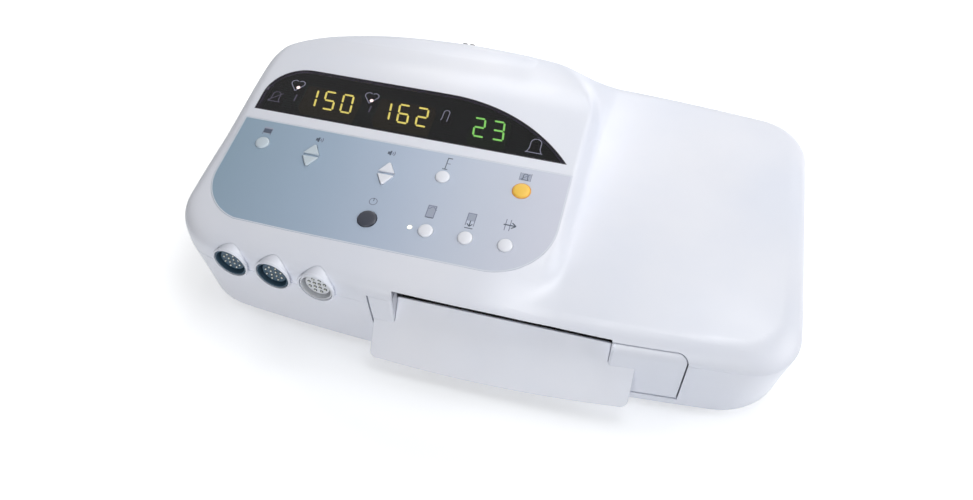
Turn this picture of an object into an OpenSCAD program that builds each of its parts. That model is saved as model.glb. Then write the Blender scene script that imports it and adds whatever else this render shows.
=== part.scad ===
// Bench-top fetal heart monitor: a low two-part case with a raised control deck,
// a front row of transducer sockets and a paper drawer with a thermal chart recorder.
// Millimetres. +X is the reader's right, -Y the front, +Z up. The origin is on the
// surface that the feet stand on, under the middle of the outer box.

/* [Case] */
// Width of the case at the parting line
case_w = 450; // [440:1:470]
// Distance from the origin to the middle of the bowed front
front_y = 129; // [127:0.5:131]
// Distance from the origin to the middle of the bowed back
back_y = 141; // [138:1:150]
// Plan radius of the bowed front
front_bow_r = 1740; // [1500:10:2500]
// Plan radius of the bowed back
back_bow_r = 1560; // [1400:10:2500]
// Plan radius of the case's corners
corner_r = 38; // [36:1:46]
// Plan radius of the corners where the lower case meets its base
base_corner_r = 56; // [52:1:66]
// Height of the parting line between the two shells
part_z = 56; // [54:0.5:57]
// Wall of both shells
wall = 2.6; // [2.2:0.1:3]
// Height of the rubber feet
foot_h = 4; // [3:0.5:6]
// Radius of a rubber foot
foot_r = 10; // [7:0.5:14]
// Distance of the feet from the side walls
foot_side = 56; // [50:1:75]
// Distance of the feet from the front and back walls
foot_end = 40; // [38:1:60]

/* [Decks] */
// Height of the low right deck above the origin
low_z = 73.8; // [73:0.2:76]
// Backward rise of the low deck, in degrees
low_tilt = 1.9; // [1.5:0.1:2.5]
// Width of the rounded shoulder of the low deck
low_round = 18; // [14:1:20]
// Height of the raised deck's plane above the origin
deck_z = 92; // [91:0.5:95]
// Backward rise of the raised deck, in degrees
deck_tilt = 8.2; // [7.5:0.1:8.6]
// Width of the raised deck's rounded shoulder at the sides and back
deck_round = 12; // [9:0.5:13]
// Width of its shoulder at the front
deck_round_front = 17; // [14:0.5:18]
// Height of its shoulder
deck_round_h = 13; // [10:0.5:14]
// Place of the raised deck's crest behind the origin
crest_y = 68; // [66:1:76]
// Fall of the surface behind the crest, in degrees
crest_fall = 4; // [2:0.5:6]
// Foot of the flank between the two decks
flank_x = 58; // [57:0.5:64]
// How far the flank leans in towards its top
flank_lean = 7; // [5:0.5:8]
// Plan radius of the raised deck's back right corner
flank_back_r = 46; // [36:1:50]
// Plan radius of its front right corner
flank_front_r = 14; // [10:1:20]

/* [Display and keys] */
// Left end of the display lens
lens_x0 = -210; // [-211:0.5:-208]
// Right end of the display lens
lens_x1 = 43; // [40:0.5:44]
// Straight lower edge of the lens, on the deck's plane
lens_v0 = 7.6; // [7:0.2:9]
// Top of the lens's arch
lens_v1 = 57; // [54:0.5:58]
// Radius of the arch's long right end
lens_arch_r = 135; // [133:1:140]
// Radius of the arch's left shoulder
lens_left_r = 32; // [26:1:36]
// Thickness of the lens
lens_t = 2; // [1.6:0.1:2.2]
// Width of the ledge that carries the lens
lens_ledge = 2; // [1.5:0.1:2.5]
// Thickness of the control overlay
overlay_t = 0.6; // [0.4:0.1:0.8]
// Left edge of the overlay
overlay_x0 = -213; // [-214:0.5:-211]
// Right edge of the overlay
overlay_x1 = 49.5; // [48:0.5:50]
// Upper edge of the overlay
overlay_v1 = -2; // [-3:0.2:-1]
// Lowest point of the overlay's bowed lower edge
overlay_v0 = -99.5; // [-100:0.5:-97]
// Radius of a plain round key
key_r = 5.5; // [4.5:0.1:5.8]
// Radius of the yellow alarm key
alarm_key_r = 6.4; // [5.5:0.1:6.8]
// Radius of the black power key
power_key_r = 7.2; // [6:0.1:7.6]
// Height of the keys above the deck
key_proud = 1.6; // [1.2:0.1:2]
// Travel of the keys
key_travel = 0.8; // [0.5:0.1:0.9]
// Gap round each key
key_gap = 0.3; // [0.25:0.05:0.4]
// Half width of an arrow key
arrow_w = 6.4; // [5.5:0.1:6.8]
// Height of an arrow key from base to point
arrow_h = 9; // [8:0.2:9.6]
// Place of the upper row of keys on the deck's plane
row_top_v = -25; // [-27:0.5:-23]
// Place of the lower row of keys
row_low_v = -74.5; // [-76:0.5:-73]

/* [Sockets] */
// Pitch of the transducer sockets
socket_pitch = 34; // [33:0.2:36]
// Place of the middle socket
socket_x = -140; // [-142:0.5:-138]
// Height of the sockets' axes above the parting line
socket_rise = 5; // [4:0.2:5.4]
// Outer radius of a socket's collar
collar_r = 15; // [14.4:0.1:15.4]
// Outer radius of a socket's shell
shell_r = 12.5; // [11.8:0.1:12.6]
// How far a collar stands proud of the front wall
collar_proud = 3.2; // [2.5:0.1:4]
// Length of a socket's shell
shell_len = 20; // [18:0.5:20]
// Contacts in each socket
pin_count = 12; // [8:1:14]

/* [Paper drawer] */
// Left edge of the drawer front
drawer_x0 = -68; // [-70:0.5:-66]
// Right edge of the drawer front
drawer_x1 = 152; // [145:0.5:155]
// Lower edge of the drawer front
drawer_z0 = 14; // [13:0.5:15]
// Upper edge of the drawer front
drawer_z1 = 63.5; // [63:0.1:64]
// Gap round the drawer front
drawer_gap = 0.9; // [0.6:0.1:1.2]
// Travel of the drawer
drawer_travel = 95; // [80:1:98]
// Width of the chart paper
paper_w = 150; // [140:1:168]
// Room beside the paper in its chute
paper_play = 2; // [1:0.5:3]
// Depth of the folded pack of paper
paper_d = 100; // [90:1:102]
// Height of the pack
paper_h = 17; // [8:0.5:18]
// Middle of the paper chute
chute_mid = 25.5; // [24:0.5:27]
// Height of the chute's upper end
chute_top_z = 55; // [54:0.5:56]
// How far the chute's upper end lies behind the front
chute_back = 13; // [12.5:0.5:14]
// Height of the lip's lower edge
lip_z = 12; // [10:0.5:13]
// How far the lip stands out in front of the case
lip_proud = 15.5; // [13:0.5:17]
// How far the lip reaches past the chute at its left end
lip_left = 15.5; // [10:0.5:16]
// How far the lip reaches past the chute at its right end
lip_right = 18.5; // [12:0.5:20]
// Thickness of the chute and lip
lip_t = 2.6; // [2:0.1:3]

/* [Recorder] */
// Radius of the rubber platen roller
roller_r = 6; // [5:0.1:6.2]
// Radius of the roller's steel shaft
shaft_r = 2.5; // [2:0.1:3]
// Running clearance of the shafts
run_gap = 0.05; // [0.03:0.01:0.08]
// Place of the roller's axis in front of the origin
roller_y = 104; // [103:0.5:105]
// Height of the roller's axis
roller_z = 51.5; // [50.5:0.5:52]
// Module of the gears
gear_m = 1; // [0.9:0.05:1]
// Teeth of the roller gear
roller_teeth = 20; // [20:4:20]
// Teeth of the motor pinion
pinion_teeth = 10; // [10:2:10]
// Radius of the stepper motor
motor_r = 13.5; // [10:0.5:14]
// Length of the stepper motor
motor_len = 20; // [14:1:26]

/* [Electronics] */
// Thickness of the circuit boards
board_t = 1.6; // [1:0.2:2]
// Height of the boards' stand-offs above the floor
standoff_h = 7; // [6:0.5:9]
// Width of an LED digit
digit_w = 9.8; // [8:0.2:10.6]
// Height of an LED digit
digit_h = 19.5; // [16:0.5:22]
// Pitch of the digits
digit_pitch = 15.4; // [14:0.2:15.6]
// Radius of the loudspeaker
speaker_r = 33; // [25:1:36]

/* [Hidden] */
$fn = 48;

eps = 0.01;
big = 600;
fit_gap = 0.1;
seat_gap = 0.3;
bow_steps = 10;
corner_steps = 6;
shoulder_angles = [0, 25, 48, 70, 90];

half_w = case_w / 2;
front_cy = front_bow_r - front_y;
back_cy = back_y - back_bow_r;
crest_z = deck_z + crest_y * tan(deck_tilt);
chute_w = paper_w + paper_play;
chute_x0 = chute_mid - chute_w / 2;
chute_x1 = chute_x0 + chute_w;

// Points of an arc, without its first one, so that joined arcs share none
function arc(cx, cy, r, a0, a1, n) =
    [for (i = [1:n]) let (a = a0 + (a1 - a0) * i / n) [cx + r * cos(a), cy + r * sin(a)]];

// How far the bowed front or back wall stands at x, for a wall moved in by an inset
function front_at(x, inset = 0) = front_cy - sqrt(pow(front_bow_r - inset, 2) - x * x);
function back_at(x, inset = 0) = back_cy + sqrt(pow(back_bow_r - inset, 2) - x * x);

// Plan outline of the case, moved in all round by an inset
function case_outline(inset, rc) = let (
        cx = half_w - inset - rc,
        fy = front_cy - sqrt(pow(front_bow_r - inset - rc, 2) - cx * cx),
        by = back_cy + sqrt(pow(back_bow_r - inset - rc, 2) - cx * cx),
        fa = atan2(fy - front_cy, cx),
        ba = atan2(by - back_cy, cx))
    concat(
        arc(0, front_cy, front_bow_r - inset, -180 - fa, fa, bow_steps),
        arc(cx, fy, rc, fa, 0, corner_steps),
        arc(cx, by, rc, 0, ba, corner_steps),
        arc(0, back_cy, back_bow_r - inset, ba, 180 - ba, bow_steps),
        arc(-cx, by, rc, 180 - ba, 180, corner_steps),
        arc(-cx, fy, rc, 180, 180 - fa, corner_steps));

// Plan outline of the raised deck: the case's left part, closed by the flank.
// It has a point on each side where the crest meets it.
function deck_outline(inset, front_inset, lean) = let (
        rl = corner_r - inset,
        cx = half_w - inset - rl,
        fy = front_cy - sqrt(pow(front_bow_r - front_inset - rl, 2) - cx * cx),
        by = back_cy + sqrt(pow(back_bow_r - inset - rl, 2) - cx * cx),
        fa = atan2(fy - front_cy, cx),
        ba = atan2(by - back_cy, cx),
        rx = flank_x - lean,
        gx = rx - flank_front_r,
        gy = front_cy - sqrt(pow(front_bow_r - front_inset - flank_front_r, 2) - gx * gx),
        ga = atan2(gy - front_cy, gx),
        hx = rx - flank_back_r,
        hy = back_cy + sqrt(pow(back_bow_r - inset - flank_back_r, 2) - hx * hx),
        ha = atan2(hy - back_cy, hx))
    concat(
        arc(0, front_cy, front_bow_r - front_inset, -180 - fa, ga, bow_steps),
        arc(gx, gy, flank_front_r, ga, 0, corner_steps),
        [[rx, crest_y]],
        arc(hx, hy, flank_back_r, 0, ha, corner_steps),
        arc(0, back_cy, back_bow_r - inset, ha, 180 - ba, bow_steps),
        arc(-cx, by, rl, 180 - ba, 180, corner_steps),
        [[inset - half_w, crest_y]],
        arc(-cx, fy, rl, 180, 180 - fa, corner_steps));
crest_right = bow_steps + corner_steps;
crest_left = crest_right + 1 + 2 * corner_steps + bow_steps;

// A closed body through rings of equally many points, lowest first, with its top in given faces
module loft(rings, top_faces) {
    n = len(rings[0]);
    last = (len(rings) - 1) * n;
    polyhedron(
        points = [for (r = rings, p = r) p],
        faces = concat(
            [[for (i = [0:n - 1]) i]],
            [for (k = [0:len(rings) - 2], i = [0:n - 1]) [k * n + i, (k + 1) * n + i, k * n + (i + 1) % n]],
            [for (k = [0:len(rings) - 2], i = [0:n - 1])
                [k * n + (i + 1) % n, (k + 1) * n + i, (k + 1) * n + (i + 1) % n]],
            [for (f = top_faces) [for (i = [len(f) - 1:-1:0]) last + f[i]]]));
}

function flat_ring(points, z) = [for (p = points) [p[0], p[1], z]];

// Rings of the low deck's rounded shoulder
function low_ring(inset, a) = [for (p = case_outline(inset + low_round * (1 - cos(a)), corner_r - inset))
    [p[0], p[1], part_z + (low_z - inset - part_z + p[1] * tan(low_tilt)) * sin(a)]];

// Rings of the raised deck's shoulder; its top rises to the crest and falls behind it
function deck_top(y) = crest_z +
    (y < crest_y ? (y - crest_y) * tan(deck_tilt) : (crest_y - y) * tan(crest_fall));
function deck_ring(inset, a) = let (
        drop = deck_round_h * (1 - sin(a)),
        side = inset + deck_round * (1 - cos(a)),
        front = inset + deck_round_front * (1 - cos(a)),
        lean = inset + flank_lean * (1 - drop / (deck_z - part_z)))
    [for (p = deck_outline(side, front, lean)) [p[0], p[1], deck_top(p[1]) - inset - drop]];

// The low body up to the right deck, moved in by an inset, from a given height
module low_body(inset, drop_to) {
    n = len(case_outline(inset, corner_r - inset));
    foot = drop_to < part_z ? [flat_ring(case_outline(inset, corner_r - inset), drop_to)] : [];
    loft(concat(foot, [for (a = shoulder_angles) low_ring(inset, a)]), [[for (i = [0:n - 1]) i]]);
}

// The raised body under the control deck, moved in by an inset, from a given height
module raised_body(inset, drop_to) {
    n = len(deck_outline(inset, inset, inset));
    loft(concat([flat_ring(deck_outline(inset, inset, inset), drop_to)],
            [for (a = shoulder_angles) deck_ring(inset, a)]),
        [[for (i = [crest_right:crest_left]) i],
            [for (i = [crest_left:crest_right + n]) i % n]]);
}

// Places its children on the raised deck's plane: x, distance up the slope, height over it
module on_deck() {
    translate([0, 0, deck_z])
        rotate([deck_tilt, 0, 0])
            children();
}

// Fasteners that hold the two shells together, seen from above
screw_r = 1.6;
boss_r = 4;
screw_points = [[-half_w + 28, -93], [half_w - 28, -93], [-half_w + 24, 92], [half_w - 24, 92],
    [-8, back_y - 12]];

// Outline of the lens, grown or shrunk by an offset
lens_left_v = lens_v1 - lens_left_r;
lens_arch_x = lens_x1 - sqrt(pow(lens_arch_r, 2) - pow(lens_arch_r - lens_v1 + lens_v0, 2));
lens_end_a = asin((lens_arch_r - lens_v1 + lens_v0) / lens_arch_r);
lens_points = concat(
    [[lens_x0, lens_v0], [lens_x1, lens_v0]],
    arc(lens_arch_x, lens_v1 - lens_arch_r, lens_arch_r, lens_end_a, 90, 14),
    arc(lens_x0 + lens_left_r, lens_left_v, lens_left_r, 90, 180, 8));

module lens_outline(grow) {
    offset(delta = grow)
        polygon(lens_points);
}

// Outline of the overlay: straight top, bowed lower edge, rounded corners
overlay_left_r = 40;
overlay_right_r = 46;
overlay_bow = 6;
overlay_mid = (overlay_x0 + overlay_x1) / 2 + 48;
overlay_bow_r = pow(overlay_mid - overlay_x0, 2) / (2 * overlay_bow);

module overlay_outline(grow) {
    offset(delta = grow)
        intersection() {
            translate([overlay_mid, overlay_v0 + overlay_bow_r])
                circle(overlay_bow_r, $fn = 720);
            translate([overlay_x0, overlay_v0])
                square([overlay_x1 - overlay_x0, overlay_v1 - overlay_v0]);
            hull() {
                translate([overlay_x0 + overlay_left_r, overlay_v0 + overlay_left_r + 2])
                    circle(overlay_left_r);
                translate([overlay_x1 - overlay_right_r, overlay_v0 + overlay_right_r + 2])
                    circle(overlay_right_r);
                translate([overlay_x0, overlay_v1 - 8])
                    square([overlay_x1 - overlay_x0, 8]);
            }
        }
}

// Keys on the deck's plane: place, radius
setup_at = [-189, row_top_v];
zero_at = [-44, row_top_v];
alarm_at = [16, row_top_v + 0.8];
power_at = [-86, row_low_v];
record_at = [-42, row_low_v];
feed_at = [-13, row_low_v + 0.5];
mark_at = [16, row_low_v + 1];
arrow_at_1 = [-147.5, -28.5];
arrow_at_2 = [-86, -32];
arrow_split = 1.2;
lamp_at = [-54, row_low_v + 0.5];
lamp_r = 1.8;
lamp_proud = 0.3;

round_keys = [[setup_at, key_r], [zero_at, key_r], [alarm_at, alarm_key_r], [power_at, power_key_r],
    [record_at, key_r], [feed_at, key_r], [mark_at, key_r]];
arrow_keys = [[arrow_at_1, 1], [arrow_at_1, -1], [arrow_at_2, 1], [arrow_at_2, -1]];

// Heights over the deck's plane of what lies under a key
flange_t = 1.2;
flange_w = 1.5;
flange_top = -wall - seat_gap;
mat_top = flange_top - flange_t - key_travel - 0.5;
mat_t = 1;
key_board_top = mat_top - mat_t;

module arrow_outline(grow) {
    offset(delta = grow)
        polygon([[-arrow_w, arrow_split], [arrow_w, arrow_split], [0.8, arrow_h + arrow_split],
            [-0.8, arrow_h + arrow_split]]);
}

module key_holes(grow) {
    for (k = round_keys)
        translate(k[0])
            circle(k[1] + grow);
    for (k = arrow_keys)
        translate(k[0])
            mirror([0, k[1] < 0 ? 1 : 0])
                arrow_outline(grow);
    translate(lamp_at)
        circle(lamp_r + fit_gap);
}

module round_key(at, r) {
    on_deck()
        translate([at[0], at[1], 0]) {
            translate([0, 0, flange_top - flange_t])
                cylinder(h = flange_t + eps, r = r + flange_w);
            translate([0, 0, flange_top])
                cylinder(h = key_proud - flange_top, r = r);
        }
}

module arrow_key(at, up) {
    on_deck()
        translate([at[0], at[1], 0])
            mirror([0, up < 0 ? 1 : 0, 0]) {
                translate([0, 0, flange_top])
                    linear_extrude(key_proud - flange_top)
                        arrow_outline(0);
                translate([0, 0, flange_top - flange_t])
                    linear_extrude(flange_t + eps)
                        polygon([[-arrow_w - 1, 0.4], [arrow_w + 1, 0.4], [arrow_w - 2, arrow_h * 0.8],
                            [2.6, arrow_h + arrow_split + 1], [-2.6, arrow_h + arrow_split + 1],
                            [2 - arrow_w, arrow_h * 0.8]]);
            }
}

// Sockets on the bowed front: one axis each, square to the wall
socket_z = part_z + socket_rise;
socket_xs = [socket_x - socket_pitch, socket_x, socket_x + socket_pitch];
collar_gap = 0.15;
collar_depth = 8;
bore_r = shell_r - 1.5;
core_r = bore_r - 1.9;
core_face = 5;
shell_back = 3;
pin_r = 0.7;
pin_proud = 1;

// Places its children at a socket, with local +Z along its axis and 0 at the collar's face
module at_socket(x) {
    turn = asin(x / front_bow_r);
    translate([x, front_at(x), socket_z])
        rotate([0, 0, turn])
            translate([0, -collar_proud, 0])
                rotate([90, 0, 0])
                    children();
}

module socket_cut() {
    translate([0, 0, -collar_proud - collar_depth - eps])
        cylinder(h = 40, r = collar_r + collar_gap);
    translate([0, 0, -shell_len - 8])
        cylinder(h = 30, r = shell_r + collar_gap * 2);
}

// The drawer's opening in the front wall, and the notch over the paper slot
open_x0 = drawer_x0 - drawer_gap;
open_x1 = drawer_x1 + drawer_gap;
notch_rise = 4.8;

module drawer_opening() {
    translate([open_x0, -front_y - 20, drawer_z0 - drawer_gap])
        cube([open_x1 - open_x0, 40, drawer_z1 - drawer_z0 + 2 * drawer_gap]);
    translate([chute_x0, -front_y - 20, part_z - 2])
        cube([chute_w, 30, drawer_z1 + notch_rise - part_z + 2]);
}

// Screw bosses that reach down from the deck to the boards hung under it
deck_boss_r = 3;
key_board_bosses = [[-207, -12], [-118, -10], [-60, -50], [44, -12], [-196, -78], [30, -81],
    [-116, -81]];
display_bosses = [[-206, 1.5], [41, 1.5], [-205, 58], [32, 54]];
display_top = -11.4;

module deck_bosses() {
    on_deck() {
        for (p = key_board_bosses)
            translate([p[0], p[1], key_board_top])
                cylinder(h = -key_board_top - overlay_t - 0.8, r = deck_boss_r);
        for (p = display_bosses)
            translate([p[0], p[1], display_top])
                cylinder(h = -display_top - overlay_t - 0.8, r = deck_boss_r);
    }
}

module upper_case() {
    color("whitesmoke")
        difference() {
            union() {
                difference() {
                    union() {
                        low_body(0, part_z);
                        raised_body(0, part_z);
                    }
                    union() {
                        low_body(wall, part_z - 4);
                        raised_body(wall, part_z - 4);
                    }
                }
                deck_bosses();
                intersection() {
                    for (p = screw_points)
                        translate([p[0], p[1], part_z])
                            cylinder(h = 60, r = boss_r);
                    union() {
                        low_body(wall / 2, part_z - 1);
                        raised_body(wall / 2, part_z - 1);
                    }
                }
            }
            on_deck() {
                translate([0, 0, -overlay_t])
                    linear_extrude(20)
                        overlay_outline(fit_gap);
                translate([0, 0, -wall - 2])
                    linear_extrude(wall + 4)
                        key_holes(key_gap);
                translate([0, 0, -lens_t])
                    linear_extrude(20)
                        lens_outline(fit_gap);
                translate([0, 0, -wall - 2])
                    linear_extrude(wall + 4)
                        lens_outline(-lens_ledge);
            }
            for (x = socket_xs)
                at_socket(x)
                    socket_cut();
            drawer_opening();
            for (p = screw_points)
                translate([p[0], p[1], part_z - 1])
                    cylinder(h = 12, r = screw_r);
        }
}

// The lower case is a tub that draws in to a smaller base with rounder corners
base_z = foot_h;
floor_z = base_z + wall;

module tub(inset, low, high) {
    r = base_corner_r - inset;
    n = len(case_outline(inset, r));
    loft([flat_ring(case_outline(3.5 + inset, r), low),
            flat_ring(case_outline(1.8 + inset, r), low + 3),
            flat_ring(case_outline(1.2 + inset, r), low + 8),
            flat_ring(case_outline(0.8 + inset, (corner_r + base_corner_r) / 2 - inset), (low + high) / 2),
            flat_ring(case_outline(inset, corner_r - inset), high)],
        [[for (i = [0:n - 1]) i]]);
}

// Openings of the lower case behind and below
panel_x0 = 62;
panel_x1 = 170;
panel_z0 = 15;
panel_z1 = 51;
panel_edge = 6;
panel_t = 1.5;
rib_t = 2;
panel_y = back_at(panel_x1) - wall - 6;
vent_count = 11;
vent_pitch = 7;
vent_w = 3;
vent_h = 26;
vent_x = -188;
speaker_at = [20, 62];
speaker_slots = 7;
speaker_slot_pitch = 7.5;
speaker_slot_len = 44;
speaker_slot_w = 3;

function speaker_slot_y(i) =
    speaker_at[1] + (i - (speaker_slots - 1) / 2) * speaker_slot_pitch - speaker_slot_w / 2;

main_board_x0 = -half_w + 29;
main_board_box = [main_board_x0, -84, chute_x0 - 15.5 - main_board_x0, 164];
power_board_box = [112, -34, 84, 116];
board_inset = 5;
standoff_r = 3.2;

function box_corners(b, d) = [[b[0] + d, b[1] + d], [b[0] + b[2] - d, b[1] + d],
    [b[0] + d, b[1] + b[3] - d], [b[0] + b[2] - d, b[1] + b[3] - d]];

standoffs = concat(box_corners(main_board_box, board_inset), box_corners(power_board_box, board_inset));
foot_points = [for (s = [-1, 1], y = [-front_y + foot_end, back_y - foot_end])
    [s * (half_w - foot_side), y]];

module lower_case() {
    color("whitesmoke")
        difference() {
            union() {
                difference() {
                    tub(0, base_z, part_z);
                    tub(wall, floor_z, part_z + 4);
                }
                for (p = screw_points)
                    translate([p[0], p[1], floor_z - 1])
                        cylinder(h = part_z - floor_z + 1, r = boss_r);
                for (p = standoffs)
                    translate([p[0], p[1], floor_z - 1])
                        cylinder(h = standoff_h + 1, r = standoff_r);
                intersection() {
                    tub(wall / 2, base_z + wall / 2, part_z - eps);
                    for (x = [panel_x0 - panel_edge - rib_t, panel_x1 + panel_edge - rib_t])
                        translate([x, panel_y - rib_t, floor_z - 1])
                            cube([2 * rib_t, 30, part_z - floor_z - 1]);
                }
            }
            drawer_opening();
            for (x = socket_xs)
                at_socket(x)
                    socket_cut();
            for (p = screw_points)
                translate([p[0], p[1], base_z - 1])
                    cylinder(h = part_z, r = screw_r + 0.2);
            for (p = screw_points)
                translate([p[0], p[1], base_z - 1])
                    cylinder(h = 7, r = 3.1);
            translate([panel_x0, back_y - 30, panel_z0])
                cube([panel_x1 - panel_x0, 60, panel_z1 - panel_z0]);
            translate([panel_x0 - panel_edge - fit_gap, panel_y - fit_gap, floor_z])
                cube([panel_x1 - panel_x0 + 2 * (panel_edge + fit_gap), panel_t + 2 * fit_gap, part_z]);
            for (i = [0:vent_count - 1])
                translate([vent_x + i * vent_pitch, back_y - 30, 18])
                    cube([vent_w, 40, vent_h]);
            for (i = [0:speaker_slots - 1])
                translate([speaker_at[0] - speaker_slot_len / 2, speaker_slot_y(i), base_z - 1])
                    cube([speaker_slot_len, speaker_slot_w, wall + 2]);
        }
}

module rubber_feet() {
    color("dimgray")
        for (p = foot_points)
            translate([p[0], p[1], 0]) {
                cylinder(h = 1, r1 = foot_r - 1, r2 = foot_r);
                translate([0, 0, 1])
                    cylinder(h = foot_h - 1, r = foot_r);
            }
}

module case_screws() {
    color("silver")
        for (p = screw_points)
            translate([p[0], p[1], base_z + 3.4]) {
                cylinder(h = 2.6, r = 2.9);
                cylinder(h = part_z - base_z + 6, r = screw_r - 0.05);
            }
}

module display_lens() {
    color([0.05, 0.05, 0.07])
        on_deck()
            translate([0, 0, -lens_t])
                linear_extrude(lens_t)
                    lens_outline(0);
}

module control_overlay() {
    color([0.68, 0.74, 0.8])
        on_deck()
            translate([0, 0, -overlay_t])
                linear_extrude(overlay_t)
                    difference() {
                        overlay_outline(0);
                        key_holes(key_gap);
                    }
}

module alarm_silence_key() { color("gold") round_key(alarm_at, alarm_key_r); }
module power_key() { color([0.12, 0.13, 0.16]) round_key(power_at, power_key_r); }
module setup_key() { color("white") round_key(setup_at, key_r); }
module zero_key() { color("white") round_key(zero_at, key_r); }
module record_key() { color("white") round_key(record_at, key_r); }
module paper_feed_key() { color("white") round_key(feed_at, key_r); }
module event_mark_key() { color("white") round_key(mark_at, key_r); }
module volume_up_key_1() { color("gainsboro") arrow_key(arrow_at_1, 1); }
module volume_down_key_1() { color("gainsboro") arrow_key(arrow_at_1, -1); }
module volume_up_key_2() { color("gainsboro") arrow_key(arrow_at_2, 1); }
module volume_down_key_2() { color("gainsboro") arrow_key(arrow_at_2, -1); }

module record_lamp() {
    color("khaki")
        on_deck()
            translate([lamp_at[0], lamp_at[1], key_board_top])
                cylinder(h = lamp_proud - key_board_top, r = lamp_r);
}

// The keypad: a silicone mat with a dome under every key, on its circuit board
dome_h = 0.25;
mat_box = [-201, -82, 234, 68];

module key_mat() {
    color([0.75, 0.77, 0.8])
        on_deck()
            difference() {
                union() {
                    translate([mat_box[0], mat_box[1], mat_top - mat_t])
                        cube([mat_box[2], mat_box[3], mat_t]);
                    for (k = round_keys)
                        translate([k[0][0], k[0][1], mat_top])
                            cylinder(h = dome_h, r1 = 3.6, r2 = 2.6);
                    for (k = arrow_keys)
                        translate([k[0][0], k[0][1] + k[1] * 4.5, mat_top])
                            cylinder(h = dome_h, r1 = 3, r2 = 2.2);
                }
                for (p = key_board_bosses)
                    translate([p[0], p[1], mat_top - mat_t - 1])
                        cylinder(h = 4, r = deck_boss_r + 0.4);
                translate([lamp_at[0], lamp_at[1], mat_top - mat_t - 1])
                    cylinder(h = 4, r = lamp_r + 0.3);
            }
}

module key_board() {
    color("seagreen")
        on_deck()
            difference() {
                translate([-212, -86, key_board_top - board_t])
                    cube([260, 81, board_t]);
                for (p = key_board_bosses)
                    translate([p[0], p[1], key_board_top - board_t - 1])
                        cylinder(h = board_t + 2, r = 1.2);
            }
}

module display_board() {
    color("seagreen")
        on_deck()
            difference() {
                translate([-211, -3, display_top - board_t])
                    cube([257, 66, board_t]);
                for (p = display_bosses)
                    translate([p[0], p[1], display_top - board_t - 1])
                        cylinder(h = board_t + 2, r = 1.2);
            }
}

// Seven-segment digits stand on the display board, just under the lens
digit_v = 30.5;
digit_slant = -9;
digit_top = -lens_t - 1.2;
digits_1_x = -156.6;
digits_2_x = -92.8;
digits_3_x = -23;
segment_t = 1.7;
segment_rise = 0.25;

// One straight segment with pointed ends, along X
module segment(len) {
    end = len / 2;
    side = segment_t / 2;
    linear_extrude(segment_rise)
        polygon([[-end, 0], [side - end, side], [end - side, side],
            [end, 0], [end - side, -side], [side - end, -side]]);
}

module digit_block(x, count) {
    on_deck() {
        block_w = count * digit_pitch + 3;
        translate([x - block_w / 2, digit_v - digit_h / 2 - 2.5, display_top])
            cube([block_w, digit_h + 5, digit_top - display_top]);
        for (i = [0:count - 1])
            translate([x + (i - (count - 1) / 2) * digit_pitch, digit_v, digit_top - eps]) {
                sw = digit_w - segment_t;
                sh = (digit_h - segment_t) / 2;
                lean = tan(digit_slant);
                for (j = [-1, 0, 1])
                    translate([j * sh * lean, j * sh, 0])
                        segment(sw - 0.8);
                for (j = [-1, 1], s = [-1, 1])
                    translate([s * sw / 2 + j * sh / 2 * lean, j * sh / 2, 0])
                        rotate([0, 0, 90 - digit_slant])
                            segment(sh - 0.8);
            }
    }
}

module digits_heart_rate_1() { color("orange") digit_block(digits_1_x, 3); }
module digits_heart_rate_2() { color("orange") digit_block(digits_2_x, 3); }
module digits_contraction() { color("limegreen") digit_block(digits_3_x, 2); }

// Light blocks behind the display's symbols
lamp_points = [[-200, 24], [-187, 40], [-123, 41], [-60, 37], [15.5, 22]];

module status_lamps() {
    color("darkorange")
        on_deck()
            for (p = lamp_points)
                translate([p[0] - 3.5, p[1] - 3.5, display_top])
                    cube([7, 7, digit_top - display_top]);
}

module board_screws() {
    color("silver")
        on_deck() {
            for (p = key_board_bosses)
                translate([p[0], p[1], key_board_top - board_t - 1.4]) {
                    cylinder(h = 1.4, r = 2.2);
                    cylinder(h = board_t + 1.4, r = 1.1);
                }
            for (p = display_bosses)
                translate([p[0], p[1], display_top - board_t - 1.4]) {
                    cylinder(h = 1.4, r = 2.2);
                    cylinder(h = board_t + 1.4, r = 1.1);
                }
        }
}

module socket_collars() {
    color("whitesmoke")
        for (x = socket_xs)
            at_socket(x)
                translate([0, 0, -collar_proud - collar_depth])
                    difference() {
                        cylinder(h = collar_proud + collar_depth, r = collar_r);
                        translate([0, 0, -1])
                            cylinder(h = collar_proud + collar_depth + 2, r = shell_r + fit_gap);
                    }
}

module socket(x) {
    at_socket(x) {
        difference() {
            translate([0, 0, -0.8 - shell_len])
                cylinder(h = shell_len, r = shell_r);
            translate([0, 0, -0.8 - shell_len + shell_back])
                cylinder(h = shell_len, r = bore_r);
            pin_places()
                translate([0, 0, -shell_len - 20])
                    pin_hole(30);
        }
        difference() {
            translate([0, 0, -0.8 - shell_len + shell_back - eps])
                cylinder(h = shell_len - shell_back - core_face + 0.8, r = core_r);
            pin_places()
                translate([0, 0, -shell_len - 20])
                    pin_hole(shell_len + 40);
        }
        translate([-1.1, bore_r - 1.2, -0.8 - shell_len + shell_back])
            cube([2.2, 1.6, shell_len - shell_back - 2]);
    }
}

// An eight-sided hole for a contact
module pin_hole(h) {
    linear_extrude(h)
        circle(pin_r * 1.15, $fn = 8);
}

// Contacts lie on a ring with a few inside it
module pin_places() {
    inner = 4;
    outer = pin_count - inner;
    for (i = [0:outer - 1])
        rotate([0, 0, 360 * (i + 0.5) / outer])
            translate([core_r * 0.7, 0, 0])
                children();
    for (i = [0:inner - 1])
        rotate([0, 0, 90 * i])
            translate([core_r * 0.3, 0, 0])
                children();
}

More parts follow.
